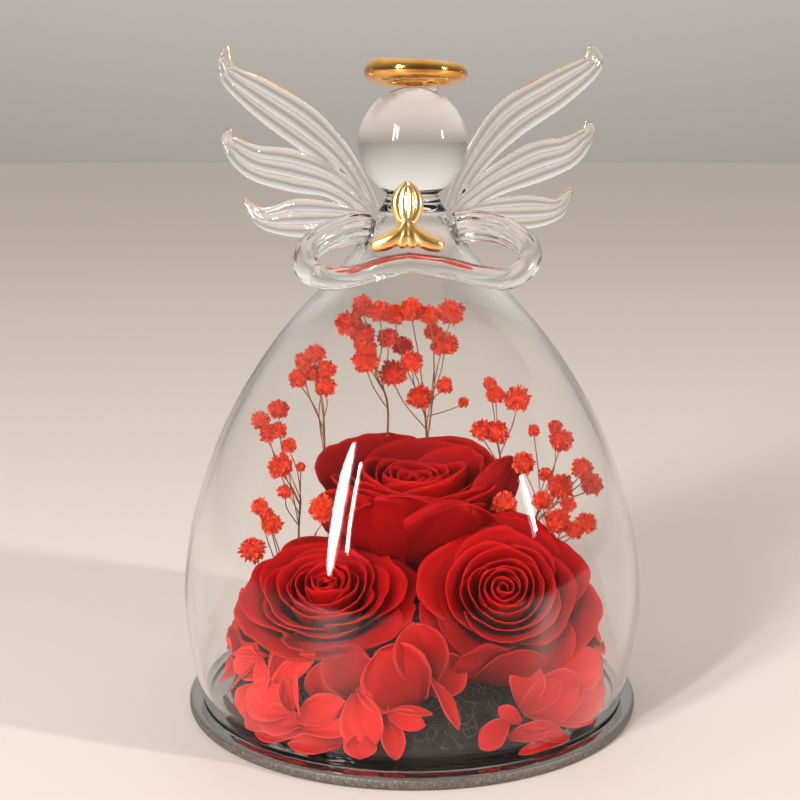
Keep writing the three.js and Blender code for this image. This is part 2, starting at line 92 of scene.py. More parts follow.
# Points of the rounded foot, as share of the wall and drop
DOME_FOOT_ROUND = [(0.12, 0.1), (0.5, 0.2), (0.88, 0.1)]

# Head, a ball whose lowest rings give way to the neck
HEAD_RADIUS = 14.05
HEAD_CENTRE = 147.6
HEAD_RINGS = 40
HEAD_LOWEST_RING = 3
NECK_RADIUS = 6.5
NECK_TOP = 134.9

# Halo: the ring swells on the left
HALO_CENTRE = Vector((1, 0, 164.8))
HALO_RADIUS = 10.6
HALO_TUBE = 2.3
HALO_SWELL = 0.8
HALO_LEAN = math.radians(-3.5)
HALO_STEPS = 96
HALO_SIDES = 32
# Glass peg between head and halo, with its radius
PEG = [(4.1, 6.7, 156.8, 1.9), (4.7, 8.3, 160, 1.5), (5, 8.9, 161.9, 1.9)]
PEG_STEPS = 14

# Wings: middle line of each feather, as distance from the axis, height and half width, root to tip
WING_DEPTH = 3.2
WING_SWEEP = 0.18
FEATHER_THICKNESS = 1.7
FEATHER_SLIMNESS = 0.62
FEATHER_STEPS = 56
FEATHER_SIDES = 60
FEATHER_FRONT = 0.75
RIBS = 3
RIB_GROOVE = 0.3
WING_VOXEL = 0.29
RIGHT_FEATHERS = [
    [(9, 128.5, 1.6), (15, 141, 3), (24.7, 153, 5.1), (37, 160.9, 4.8),
     (46.1, 166.9, 3), (47.1, 169.8, 2), (46, 172.6, 0.6)],
    [(9, 128.5, 1.6), (20.2, 136.8, 3.6), (32, 142.5, 5.3), (40.8, 145.3, 4.1),
     (46, 150.2, 2), (46.1, 153.1, 0.6)],
    [(9, 128.5, 1.6), (19, 129.6, 3.3), (30, 129.8, 4.6), (38, 130.6, 2.7), (42, 135.5, 0.6)],
]
LEFT_FEATHERS = [
    [(9, 128.5, 1.6), (17.5, 142, 3.5), (27.6, 151.2, 5.5), (39, 158.8, 4.9),
     (47.2, 164.5, 2.9), (48.8, 168.3, 1.7), (48.4, 172.1, 0.6)],
    [(9, 128.5, 1.6), (20.4, 137, 4), (31, 140.4, 5.6), (41.6, 142.7, 4.6),
     (48, 147.6, 2.2), (48.1, 151.1, 0.6)],
    [(9, 128.5, 1.6), (20, 128.5, 3.9), (30.1, 128.2, 5.2), (39, 128, 2.8), (44.4, 132.4, 0.6)],
]
# Gold on the upper rims: its radius, and the share of each feather where it starts
GOLD_RIM_RADIUS = 0.26
GOLD_RIM_STARTS = (0.35, 0.62, 0.7)
GOLD_RIM_STEPS = 60
GOLD_RIM_SIDES = 8
GOLD_RIM_THINNEST = 0.05

# Arms: middle line from the shoulder to the hands, with the rod's radius, and flutes that fade out
RIGHT_ARM = [
    (11, -1.5, 126, 3.9), (15.6, -3, 126.8, 3.9), (22.2, -7, 126.2, 3.5), (27.9, -12, 123, 3.1),
    (28.8, -16, 119, 2.9), (24, -20, 115.3, 2.7), (16, -23.4, 116, 2.7), (8, -25.2, 118.2, 2.6),
    (-1.6, -25.2, 119.6, 2.4),
]
LEFT_ARM = [
    (-10.4, -1.5, 125.6, 3.8), (-14.7, -3, 126.2, 3.8), (-20.8, -7, 124.6, 3.5), (-26, -12, 121.4, 3.2),
    (-26, -17, 117, 3.1), (-21, -20, 115.2, 2.9), (-14, -23, 116, 2.8), (-8, -25, 118, 2.8),
    (-0.6, -25.2, 119.6, 2.4),
]
ARM_STEPS = 96
ARM_SIDES = 72
ARM_FLUTES = 9
ARM_FLUTE_DEPTH = 0.09
ARM_FLUTES_FADE = (0.1, 0.6)
ARM_VOXEL = 0.28

# Praying hands: half of the pair, as middle lines with radius, mirrored about the middle
HANDS_MIDDLE = -1.5
PALM = [(0.6, -24.9, 128.6, 1.1), (2, -24.4, 130.9, 1.35), (2.6, -24, 133.6, 1.4),
        (1.9, -23.7, 136.2, 1.1), (0.5, -23.6, 138.3, 0.6)]
FINGERS = [(0.4, -24.9, 128.8, 1), (0.8, -24.9, 131.2, 1.1), (1, -24.6, 133.8, 1),
           (0.7, -24.2, 136, 0.8), (0.3, -24, 137.4, 0.5)]
CUFF = [(0.3, -25, 129.2, 1.3), (1.4, -25.3, 127, 1.7), (3.4, -25.5, 125.2, 2), (5.4, -25.4, 124.2, 2),
        (7.3, -25.2, 123.7, 1.8)]
WAIST = [(0.4, -25.2, 128.6, 1.2), (0.6, -25.6, 126.2, 1.7), (1.2, -25.7, 124.4, 1.6)]
HAND_STEPS = 24
HAND_VOXEL = 0.2
ROD_SIDES = 20

# Moss bed and its loose fibres
MOSS_RADIUS = 49
MOSS_EDGE = 1.5
MOSS_CREST = 10.4
MOSS_SIDES = 120
MOSS_RINGS = 44
MOSS_RAGGED = 0.03
MOSS_SEED = 11
FIBRES = 1500
FIBRE_POINTS = 8
FIBRE_STEP = 0.95
FIBRE_RADIUS = 0.16
FIBRE_SIDES = 3
FIBRE_RISE = 2.2

# Roses: middle of the open face, radius, depth to the calyx, lean to the front in degrees, first bearing,
# height of the heart in depths, how far the rims roll open, and stem below the calyx
ROSES = {
    "left": ((-22, -20.5, 38.6), 22, 17.5, 24, 0.4, 0.98, 1, 6.5),
    "right": ((23.2, -22, 37.2), 22, 17.5, 46, 2.1, 0.98, 1, 9.5),
    "back": ((0.5, 17, 59.5), 27.8, 23, 8, 1.2, 0.84, 0.25, 19.5),
}
ROSE_SEED = 40
ROSE_NODES = ["heart"] + [f"petal_{i}" for i in range(1, 9)]
GOLDEN_ANGLE = math.radians(137.5)
PETAL_THICKNESS = 0.35
PETAL_ACROSS = 32
PETAL_ALONG = 18
CALYX_SIDES = 24
CUT_STEM_RADIUS = 1.5

# Layer of each rose petal, from the tight heart to the open outside
HEART_LAYERS = [0, 0.03, 0.06, 0.09, 0.12, 0.155, 0.19]
BLOOM_LAYERS = [0.22, 0.255, 0.29, 0.325, 0.36, 0.4, 0.44, 0.48, 0.53, 0.58, 0.63, 0.68, 0.73, 0.78, 0.83,
                0.88, 0.92, 0.96, 1, 1]

# A half-closed rose is bare behind the middle of its bloom: openness, layers, and sine of the bearing
HALF_CLOSED = 0.5
BARE_LAYERS = (0.36, 0.8)
BARE_BEHIND = 0.3

# Hydrangea sepals at the front and sides, read from the photo: foot, tip, half width and facing
FRONT_SEPALS = {
    "front_left": [
        ((-29, -40, 12), (-41, -34, 14), 5.4, (-0.3, -0.9, 0.4)),
        ((-30, -38, 13), (-37, -34, 18.5), 4.6, (-0.2, -0.9, 0.1)),
        ((-27.5, -43, 11), (-28.3, -42, 22.5), 1.6, (-0.9, -0.4, 0.1)),
        ((-29, -41, 12), (-31, -40, 20), 2.6, (0.3, -0.9, 0)),
        ((-28, -43.5, 11), (-16.8, -43, 15.6), 3.8, (0.2, -0.8, 0.5)),
        ((-22, -39, 13), (-21, -38, 23.4), 5, (0.1, -0.9, 0.2)),
        ((-26.2, -45, 9.4), (-15, -47, 9.8), 2.6, (0, -0.6, 0.8)),
        ((-26.3, -43, 8.6), (-39, -37, 5.2), 3.2, (-0.3, -0.8, 0.6)),
        ((-17, -48, 6.8), (-30, -44.5, 5.6), 2.8, (-0.1, -0.7, 0.7)),
        ((-27, -42, 9.5), (-38, -37, 9), 4, (-0.4, -0.8, 0.5)),
        ((-33, -39, 8), (-42, -32, 8), 3.6, (-0.6, -0.6, 0.5)),
    ],
    "front_middle": [
        ((-13.8, -45, 18.5), (-10.6, -51, 6.6), 5.4, (-0.2, -1, 0.1)),
        ((-13.3, -44, 19.4), (-6, -47, 14.8), 3, (0.4, -0.7, 0.6)),
        ((-6.4, -47, 13.9), (-3.6, -51.5, 4.6), 3, (0.3, -0.9, 0.2)),
        ((-5.6, -47, 15.2), (4.4, -48, 14.6), 1.4, (0.1, -0.5, 0.9)),
        ((-6, -48, 14.4), (2.8, -48.5, 11.6), 2.5, (0.1, -0.8, 0.5)),
        ((-12.3, -49, 9.4), (-12.6, -51.5, 4.6), 4, (-0.1, -0.8, 0.5)),
        ((-14, -46, 11), (-18.5, -46, 7.5), 3.4, (-0.3, -0.8, 0.3)),
        ((-15.5, -43, 14), (-17.5, -42, 9.5), 3.2, (-0.4, -0.8, 0.2)),
        ((4.7, -46, 22.6), (11, -50.5, 12), 2.1, (0.6, -0.7, 0.3)),
    ],
    "front_left_outer": [
        ((-37.5, -20, 23), (-45, -14, 33.5), 5.4, (-0.7, -0.7, 0.1)),
        ((-36, -31, 22.6), (-46, -23.5, 20.4), 1.2, (-0.2, -0.5, 0.9)),
        ((-38.5, -29, 20.4), (-47.5, -23.5, 9.6), 1.4, (-0.4, -0.3, 0.8)),
        ((-37.6, -33, 23), (-36.6, -35, 15), 2.6, (-0.6, -0.8, 0.1)),
        ((-34, -36, 17.5), (-32.5, -33, 27), 2.1, (0.2, -0.9, 0.2)),
        ((-34, -37.5, 18), (-24, -39, 25.6), 2.6, (0.1, -0.9, 0.5)),
        ((-34, -35, 18), (-30, -34, 26), 3.4, (0.3, -0.9, 0)),
        ((-38, -29, 16), (-44, -24, 21), 4.6, (-0.6, -0.8, 0.2)),
        ((-39, -29, 14), (-43, -29, 6), 4.2, (-0.7, -0.7, 0.3)),
        ((-40, -18, 15), (-47, -12, 24), 5.4, (-0.8, -0.6, 0.2)),
    ],
    "front_right": [
        ((22.4, -45.5, 11.8), (16, -48.5, 6), 3.1, (-0.1, -0.8, 0.6)),
        ((22.6, -46.5, 7.8), (32.3, -43, 8.4), 2.3, (0.2, -0.7, 0.7)),
        ((25.7, -45, 9.8), (38, -41, 5.6), 2.6, (0.3, -0.7, 0.6)),
        ((37, -41.5, 5.2), (25.3, -48, 5), 1.8, (0.1, -0.6, 0.8)),
        ((25.8, -44, 10.6), (20.5, -42.5, 13.6), 2.2, (-0.2, -0.7, 0.6)),
    ],
    "right_front": [
        ((26.3, -41, 12.6), (42.5, -32, 15.6), 6.6, (0.4, -0.9, 0.2)),
        ((25.7, -45, 13.8), (35, -41.5, 19.6), 3.1, (0.1, -0.9, 0.4)),
        ((25.9, -42.5, 13.6), (29, -39, 23.6), 4.3, (-0.4, -0.9, 0.1)),
        ((31, -40, 10), (46.5, -30, 7), 3.2, (0.5, -0.7, 0.6)),
        ((36, -38, 9), (47.5, -27, 10.5), 3.6, (0.6, -0.7, 0.4)),
    ],
    "right": [
        ((40.5, -16, 20), (45.5, -11, 29.5), 5, (0.7, -0.7, 0.1)),
        ((35, -32, 15.5), (49, -21, 18), 5.4, (0.5, -0.8, 0.3)),
        ((44, -26, 11), (50, -20, 8.5), 4.2, (0.8, -0.5, 0.3)),
        ((42, -22, 15), (48, -24, 12), 4.4, (0.7, -0.7, 0.2)),
    ],
    "left": [
        ((-44, -12, 17), (-48, -18, 22), 4.6, (-0.9, -0.4, 0.2)),
    ],
}
# Sepals of the middle floret that lie in the roses' shade, painted a deeper red as painted shade
SHADED_SEPALS = [
    ((1, -46, 15.5), (-8.5, -42.5, 27.4), 9, (-0.1, -0.9, 0.2)),
    ((3, -43.5, 19), (0.6, -41.5, 34), 6.8, (0.1, -0.9, 0)),
    ((3, -41.5, 18), (12, -38.5, 23.5), 5.4, (0.3, -0.9, 0.2)),
    ((-14, -41, 16), (-18, -37.5, 27), 6.5, (-0.1, -0.9, 0.3)),
]
# Outer rose petals that hang open below their flower, in the same form
GUARD_PETALS = {
    "left": [((-20, -28, 24), (-26, -43, 27), 9, (-0.2, -0.6, -0.8)),
             ((-34, -20, 27), (-44, -24, 27.5), 6, (-0.6, -0.8, 0))],
    "right": [((24, -34, 18.5), (10.5, -41, 22.8), 7.5, (-0.1, -0.9, -0.3)),
              ((16, -38, 18), (31, -42, 25), 4.8, (0.2, -0.9, -0.2))],
    "back": [((2, -4, 33), (-10, -14.5, 56.6), 15, (-0.2, -1, -0.2)),
             ((4, -4, 33), (15, -13.5, 54.6), 13.5, (0.3, -0.9, -0.2)),
             ((12, 0, 36), (29.5, 10, 62.5), 8, (0.6, -0.8, 0)),
             ((-8, 0, 36), (-24.5, 0, 55), 11, (-0.6, -0.8, -0.2))],
}
# Whole florets at the sides and back: bearing, distance, height, size and how far each faces up, in degrees
FLORETS = {
    "right": [(-7, 46.5, 19, 11.5, 22), (10, 46, 12, 10, 38)],
    "left": [(172, 46.5, 20, 11.5, 22), (188, 46.5, 12, 10, 38)],
    "back_right": [(25, 46, 12, 12, 40), (36, 42, 17.5, 8, 60), (17, 45, 19, 7, 30)],
    "back_right_inner": [(57, 46, 14, 12.5, 35), (70, 46, 9.5, 8.5, 50), (48, 43, 19, 8, 55)],
    "back_left_inner": [(92, 46, 12, 12, 42), (80, 44, 18, 8.5, 50), (104, 46, 9.5, 8, 45)],
    "back_left": [(125, 46, 13.5, 12.5, 38), (113, 43, 17.5, 8, 60), (143, 46, 11, 9, 40),
                  (152, 45, 18, 8, 35)],
}
SEPAL_SEED = 5
SEPAL_THICKNESS = 0.2
SEPAL_CUP = 0.16
SEPAL_BLUNTNESS = 0.6
SHADED_BLUNTNESS = 0.45
GUARD_SEED = 31
GUARD_THICKNESS = 0.4
GUARD_CUP = -0.3
GUARD_BLUNTNESS = 0.4
SEPAL_ROWS = 18
SEPAL_COLUMNS = 15

# Baby's breath: foot of the stem, its bends, and the flower heads with radii
SPRIGS = {
    "back_left": ((-6, 31), [(-7, 34, 32), (-7, 44, 57), (-7, 33, 74), (-10, 18, 84)],
                  [(-13.4, 9, 105.6, 2.9), (-17, 8, 100.8, 3.7), (-13.2, 10, 97.5, 3.3),
                   (-12.4, 12, 89.5, 3.6), (-8.7, 8, 104.2, 3), (-6.5, 14, 96, 3), (-12.6, 11, 93.5, 3)]),
    "back_top": ((7, 30), [(7, 34, 32), (5, 44.5, 57), (4, 33, 72)],
                 [(-4.6, 8, 103.4, 2.9), (-0.2, 8, 104.6, 3.3), (4.9, 8, 103.2, 2.8), (10.3, 8, 104, 3.5),
                  (9.1, 18, 93.5, 3.8), (0, 16, 88.5, 3.1), (-5.2, 20, 84.5, 3.8), (2.4, 24, 77, 3.5),
                  (9.2, 20, 81, 2.3), (14.6, 22, 76, 1.5), (-2.7, 22, 92.5, 3), (6, 20, 97, 2.6)]),
    "left_upper": ((-22, 26), [(-24, 31, 34), (-25, 32, 56), (-24.5, 18, 72)],
                   [(-26, 8, 92, 2.8), (-29.2, 8, 90, 2.6), (-30.6, 8, 85.4, 2.7), (-23.1, 8, 87.6, 2.7),
                    (-23.4, 8, 83, 2.8), (-26.8, 9, 86.6, 2.3)]),
    "left_outer": ((-29, 15), [(-32, 21, 34), (-31, 17, 50)],
                   [(-35.7, 4, 77.7, 2.7), (-40.6, 4, 74.7, 2.5), (-38.4, 4, 71.4, 2.6),
                    (-35.6, 4, 72, 2.3), (-33, 4, 67.8, 2.1), (-35.4, 4, 62.3, 3.2),
                    (-29.8, 4, 62.1, 1.3), (-34, 2, 55.9, 1.9)]),
    "left_lower": ((-33, 4), [(-36, 8, 30)],
                   [(-40.2, -4, 53.4, 2.3), (-37.1, -4, 48.5, 2.8), (-42.1, -6, 42, 3.3),
                    (-38.2, -4, 51, 2)]),
    "left_middle": ((-27, 6), [(-28, 8, 30), (-26, 4, 44)], [(-23.6, -4, 52.9, 3.4)]),
    "right_upper": ((21, 27), [(24, 31, 32), (26, 31, 54), (24, 20, 66)],
                    [(20.9, 8, 83.7, 1.8), (22.6, 8, 80.7, 2.5), (28.5, 8, 79.6, 3.4),
                     (18.9, 12, 70.3, 2.8), (23.3, 12, 69.7, 3.2)]),
    "right_outer": ((29, 17), [(32, 22, 34), (36, 15, 48)],
                    [(32.8, 6, 71.5, 1.6), (38.4, 4, 73, 1.8), (40.1, 4, 69.5, 3.2), (45.6, 2, 62.3, 2.9),
                     (48.4, 2, 57.9, 2.9), (36.2, 6, 59.7, 1.9), (40.1, 4, 56.8, 3.5), (46.8, 2, 60.4, 2)]),
    "right_lower": ((31, 6), [(37, 7, 32), (37, 3, 42)],
                    [(30.4, 8, 62.2, 3), (24.9, 2, 52.6, 3.2), (35.1, 2, 53.5, 2.7), (41.1, -4, 53.9, 2),
                     (38.3, -6, 49.9, 3.4), (45.2, -8, 49.9, 2.8), (42.3, -8, 48, 2.4)]),
}
STEM_RADIUS = 0.36
STEM_TIP_RADIUS = 0.28
STEM_STEPS = 30
STEM_SIDES = 6
TWIG_RADIUS = 0.17
TWIG_STEPS = 12
TWIG_SIDES = 5
SPRIG_SEED = 23
PUFF_FULLNESS = 1.14
PUFF_PETALS = 36
PUFF_RINGS = 10
PUFF_SIDES = 16

# Sockets of Blender's Mix node that hold colours
MIX_FACTOR, MIX_FIRST, MIX_SECOND, MIX_RESULT = 0, 6, 7, 2

# Petal colours from the foot over the body to the rim, and of the bare edge, with the streaks across; the
# dark foot colour is painted shade, where the petals close in
ROSE_COLOURS = ((0.04, 0, 0), (0.37, 0.0006, 0.0008), (0.5, 0.0015, 0.002), (0.74, 0.01, 0.01), 22)
HYDRANGEA_COLOURS = ((0.5, 0.01, 0.008), (0.84, 0.024, 0.02), (0.9, 0.05, 0.04), (1, 0.13, 0.1), 14)
# Shaded sepals: a darker copy of the sepal colours, as painted shade under the roses
SHADED_COLOURS = ((0.16, 0.001, 0.001), (0.5, 0.003, 0.002), (0.74, 0.012, 0.008), (1, 0.08, 0.06), 14)
BREATH_COLOURS = ((0.95, 0.04, 0.014), (1, 0.072, 0.024), (1, 0.18, 0.09), (1, 0.15, 0.09), 4)


def mix(a, b, t):
    return a + (b - a) * t


def ease(low, high, value):
    """Rises smoothly from 0 at low to 1 at high."""
    t = min(max((value - low) / (high - low), 0), 1)
    return t * t * (3 - 2 * t)


def turns(count):
    """Angles of even steps round a circle."""
    return [2 * math.pi * i / count for i in range(count)]


def spline(points, steps):
    """Smooth path through the points, which may carry a radius or width as a last number."""
    last = len(points) - 1
    path = []
    for step in range(steps + 1):
        place = step / steps * last
        i = min(int(place), last - 1)
        t = place - i
        near = points[max(i - 1, 0)], points[i], points[i + 1], points[min(i + 2, last)]
        path.append(tuple(
            0.5 * (2 * q + (r - p) * t + (2 * p - 5 * q + 4 * r - s) * t * t
                   + (3 * q - p - 3 * r + s) * t ** 3)
            for p, q, r, s in zip(*near)))
    return path


def frames_along(places):
    """Each place of a path, with two directions across it that twist as little as they can."""
    wide = Vector((0.3, 0.9, 0.3))
    for j, place in enumerate(places):
        tangent = (places[min(j + 1, len(places) - 1)] - places[max(j - 1, 0)]).normalized()
        wide = (wide - tangent * wide.dot(tangent)).normalized()
        yield place, wide, tangent.cross(wide)


class Shape:
    """Sheets and tubes in millimetres, gathered into one mesh, with a place across and along each sheet."""

    def __init__(self):
        self.points = []
        self.places = []
        self.tones = []
        self.faces = []

    def grid(self, rows, wrapped=False, tone=0.5):
        start = len(self.points)
        count = len(rows[0])
        for j, row in enumerate(rows):
            for i, point in enumerate(row):
                self.points.append(Vector(point))
                self.places.append((i / max(count - 1, 1), j / (len(rows) - 1)))
                self.tones.append(tone)
        for j in range(len(rows) - 1):
            for i in range(count if wrapped else count - 1):
                a = start + j * count + i
                b = start + j * count + (i + 1) % count
                self.faces.append((a, b, b + count, a + count))
        return start

    def closed(self, rows, tone=0.5):
        """Tube through rings, with both ends covered."""
        start = self.grid(rows, wrapped=True, tone=tone)
        count = len(rows[0])
        last = start + (len(rows) - 1) * count
        self.faces.append(tuple(reversed(range(start, start + count))))
        self.faces.append(tuple(range(last, last + count)))

    def rod(self, path, sides, tone=0.5, rounded=True):
        """Round rod through points given as x, y, z and radius."""
        places = [Vector(point[:3]) for point in path]
        rows = []
        for (place, wide, deep), point in zip(frames_along(places), path):
            rows.append([place + (wide * math.cos(turn) + deep * math.sin(turn)) * point[3]
                         for turn in turns(sides)])
        if rounded:
            first, end = places[0] - places[1], places[-1] - places[-2]
            rows = self.dome_end(rows[0], places[0], first.normalized(), path[0][3])[::-1] + rows
            rows += self.dome_end(rows[-1], places[-1], end.normalized(), path[-1][3])
        self.closed(rows, tone)

    @staticmethod
    def dome_end(ring, centre, outward, radius):
        rows = []
        for rise in (math.radians(degrees) for degrees in (30, 60, 85)):
            lift = outward * radius * math.sin(rise)
            rows.append([centre + (point - centre) * math.cos(rise) + lift for point in ring])
        return rows

    def turned(self, profile, sides, tone=0.5):
        """Closed body turned from radius and height points that start and end on the axis."""
        rows = []
        for radius, height in profile:
            reach = max(radius, 0.01)
            rows.append([(reach * math.cos(turn), reach * math.sin(turn), height) for turn in turns(sides)])
        self.closed(rows, tone)

    def moved(self, matrix):
        self.points = [matrix @ point for point in self.points]
        return self


def add_piece(name, shape, material, slot, nodes=(), thickness=0, outward=True):
    """Makes the shape a piece of the object, in place of the CAD nodes named."""
    mesh = bpy.data.meshes.new(name)
    mesh.from_pydata([point * MM for point in shape.points], [], shape.faces)
    places = mesh.uv_layers.new(name="place")
    for loop in mesh.loops:
        places.data[loop.index].uv = shape.places[loop.vertex_index]
    tones = mesh.attributes.new("tone", "FLOAT", "POINT")
    tones.data.foreach_set("value", shape.tones)
    if outward:
        sheet = bmesh.new()
        sheet.from_mesh(mesh)
        bmesh.ops.recalc_face_normals(sheet, faces=sheet.faces)
        sheet.to_mesh(mesh)
        sheet.free()
    mesh.shade_smooth()
    piece = bpy.data.objects.new(name, mesh)
    bpy.context.scene.collection.objects.link(piece)
    for each in material if isinstance(material, list) else [material]:
        mesh.materials.append(each)
    if thickness:
        thicker = piece.modifiers.new("thicker", "SOLIDIFY")
        thicker.thickness = thickness * MM
        thicker.offset = 0
    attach(piece, BODY)
    if nodes:
        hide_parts(*nodes)
    return piece


def fuse(piece, voxel):
    """Melts a piece's overlapping bodies into one, as molten glass does."""
    melt = piece.modifiers.new("melt", "REMESH")
    melt.mode = "VOXEL"
    melt.voxel_size = voxel * MM
    melt.use_smooth_shade = True
    soften = piece.modifiers.new("soften", "SMOOTH")
    soften.factor = 0.5
    soften.iterations = 3
    ready = piece.evaluated_get(bpy.context.evaluated_depsgraph_get())
    mesh = bpy.data.meshes.new_from_object(ready)
    piece.modifiers.clear()
    piece.data = mesh


class Paint:
    """A Principled material and the nodes that vary it."""

    def __init__(self, name, **sockets):
        self.material = bpy.data.materials.new(name)
        self.material.use_nodes = True
        self.tree = self.material.node_tree
        self.shader = self.tree.nodes["Principled BSDF"]
        for socket, value in sockets.items():
            self.shader.inputs[socket.replace("_", " ")].default_value = value

    def node(self, kind, inputs=None, **settings):
        made = self.tree.nodes.new("ShaderNode" + kind)
        for key, value in settings.items():
            setattr(made, key, value)
        for key, value in (inputs or {}).items():
            if isinstance(value, bpy.types.NodeSocket):
                self.tree.links.new(value, made.inputs[key])
            else:
                made.inputs[key].default_value = value
        return made

    def math(self, operation, first, second=0):
        return self.node("Math", {0: first, 1: second}, operation=operation).outputs["Value"]

    def rescale(self, value, **limits):
        inputs = {key.replace("_", " "): limit for key, limit in limits.items()}
        return self.node("MapRange", {"Value": value, **inputs}).outputs["Result"]

    def link(self, output, socket):
        self.tree.links.new(output, self.shader.inputs[socket])

    def place(self, scale=(1, 1, 1)):
        """Place across and along a sheet."""
        across = self.node("UVMap", uv_map="place")
        return self.node("Mapping", {"Vector": across.outputs["UV"], "Scale": scale}).outputs["Vector"]

    def along(self):
        return self.node("SeparateXYZ", {"Vector": self.place()}).outputs["Y"]

    def edge(self):
        """From 0 inside a sheet to about a half along its free edges."""
        split = self.node("SeparateXYZ", {"Vector": self.place()})
        outward = self.math("ABSOLUTE", self.math("SUBTRACT", split.outputs["X"], 0.5))
        side = self.rescale(outward, From_Min=0.42, From_Max=0.5, To_Max=0.5)
        tip = self.rescale(split.outputs["Y"], From_Min=0.9, From_Max=1, To_Max=0.5)
        return self.math("MAXIMUM", side, tip)

    def solid(self, scale=(1, 1, 1)):
        """Place in the object, in metres."""
        inside = self.node("TexCoord")
        return self.node("Mapping", {"Vector": inside.outputs["Object"], "Scale": scale}).outputs["Vector"]

    def grain(self, place, scale, detail=4, roughness=0.55):
        inputs = {"Vector": place, "Scale": scale, "Detail": detail, "Roughness": roughness}
        return self.node("TexNoise", inputs).outputs["Fac"]

    def tone(self):
        return self.node("Attribute", attribute_name="tone").outputs["Fac"]

    def ramp(self, factor, *stops):
        """Colours at positions from 0 to 1, each stop a position and a colour."""
        made = self.node("ValToRGB", {"Fac": factor})
        fill_ramp(made.color_ramp, stops)
        return made.outputs["Color"]

    def blend(self, factor, first, second, kind="MIX"):
        made = self.node("Mix", data_type="RGBA", blend_type=kind)
        for socket, value in ((MIX_FACTOR, factor), (MIX_FIRST, first), (MIX_SECOND, second)):
            if isinstance(value, bpy.types.NodeSocket):
                self.tree.links.new(value, made.inputs[socket])
            elif isinstance(value, tuple):
                made.inputs[socket].default_value = (*value, 1)
            else:
                made.inputs[socket].default_value = value
        return made.outputs[MIX_RESULT]

    def bump(self, height, strength, distance):
        made = self.node("Bump", {"Height": height, "Strength": strength, "Distance": distance * MM})
        self.link(made.outputs["Normal"], "Normal")


def fill_ramp(ramp, stops):
    while len(ramp.elements) < len(stops):
        ramp.elements.new(0.5)
    for end, (position, colour) in zip(ramp.elements, stops):
        end.position = position
        end.color = (*colour, 1)


def glass_paint(name, waviness, glint):
    paint = Paint(name, Base_Color=(0.985, 0.99, 0.98, 1), Roughness=0, IOR=1.47, Transmission_Weight=1,
                  Specular_Tint=(glint, glint, glint, 1))
    waves = paint.grain(paint.solid((1, 1, 0.45)), 55, detail=1, roughness=0.4)
    paint.bump(waves, waviness, 0.6)
    return paint.material


def gold_paint(name, deep, bright, smooth, dull):
    paint = Paint(name, Metallic=1, Roughness=0.14)
    cloud = paint.grain(paint.solid(), 160, detail=3)
    paint.link(paint.ramp(cloud, (0.3, deep), (0.7, bright)), "Base Color")
    paint.link(paint.rescale(cloud, To_Min=smooth, To_Max=dull), "Roughness")
    paint.bump(paint.grain(paint.solid(), 420, detail=2), 0.15, 0.15)
    return paint.material


def base_top_paint():
    paint = Paint("base_gloss", Roughness=0.06, IOR=2, Coat_Weight=1, Coat_Roughness=0.02, Coat_IOR=2)
    specks = paint.grain(paint.solid(), 900, detail=3)
    colours = (0.45, (0.012, 0.011, 0.010)), (0.75, (0.05, 0.045, 0.04))
    paint.link(paint.ramp(specks, *colours), "Base Color")
    paint.link(paint.rescale(specks, To_Min=0.04, To_Max=0.12), "Roughness")
    return paint.material


def base_edge_paint():
    paint = Paint("base_edge", Roughness=0.5)
    specks = paint.grain(paint.solid(), 1300, detail=4, roughness=0.75)
    colours = (0.34, (0.035, 0.03, 0.025)), (0.58, (0.1, 0.08, 0.065)), (0.76, (0.3, 0.255, 0.215))
    paint.link(paint.ramp(specks, *colours), "Base Color")
    paint.bump(specks, 0.5, 0.2)
    return paint.material


def petal_paint(name, colours, sheen):
    """Petal that darkens towards its foot as painted shade, with streaks running up it and a tone of its own.
    """
    foot, body, rim, edge, streaks = colours
    paint = Paint(name, Roughness=0.62, Sheen_Weight=sheen, Sheen_Roughness=0.4,
                  Sheen_Tint=(*rim, 1), Specular_IOR_Level=0.1)
    fibres = paint.grain(paint.place((streaks, 2.2, 1)), 1, detail=5, roughness=0.6)
    blotches = paint.grain(paint.solid(), 130, detail=3)
    # Painted shade: the colour darkens towards each petal's foot, down among the other petals
    shade = paint.ramp(paint.along(), (0.05, foot), (0.55, body), (0.97, rim))
    for factor, dark, light in (
            (paint.tone(), (0.6, 0.53, 0.53), (1.05, 1.05, 1.05)),
            (fibres, (0.75, 0.7, 0.7), (1.2, 1.2, 1.2)),
            (blotches, (0.85, 0.8, 0.8), (1.12, 1.12, 1.12))):
        shade = paint.blend(1.0, shade, paint.blend(factor, dark, light), "MULTIPLY")
    paint.link(paint.blend(paint.edge(), shade, edge), "Base Color")
    paint.bump(fibres, 0.35, 0.35)
    return paint.material


def stem_paint():
    paint = Paint("stem", Roughness=0.7)
    bark = paint.grain(paint.solid((1, 1, 0.3)), 500)
    paint.link(paint.ramp(bark, (0.3, (0.38, 0.14, 0.08)), (0.7, (0.62, 0.27, 0.17))), "Base Color")
    paint.bump(bark, 0.4, 0.1)
    return paint.material


def moss_paint(name, dark, light):
    paint = Paint(name, Roughness=0.95, Specular_IOR_Level=0.15)
    tone = paint.tone()
    clumps = paint.grain(paint.solid(), 220, detail=6, roughness=0.7)
    spread = paint.math("MULTIPLY", tone, clumps)
    paint.link(paint.ramp(spread, (0.1, dark), (0.55, light)), "Base Color")
    paint.bump(clumps, 0.8, 0.8)
    return paint.material


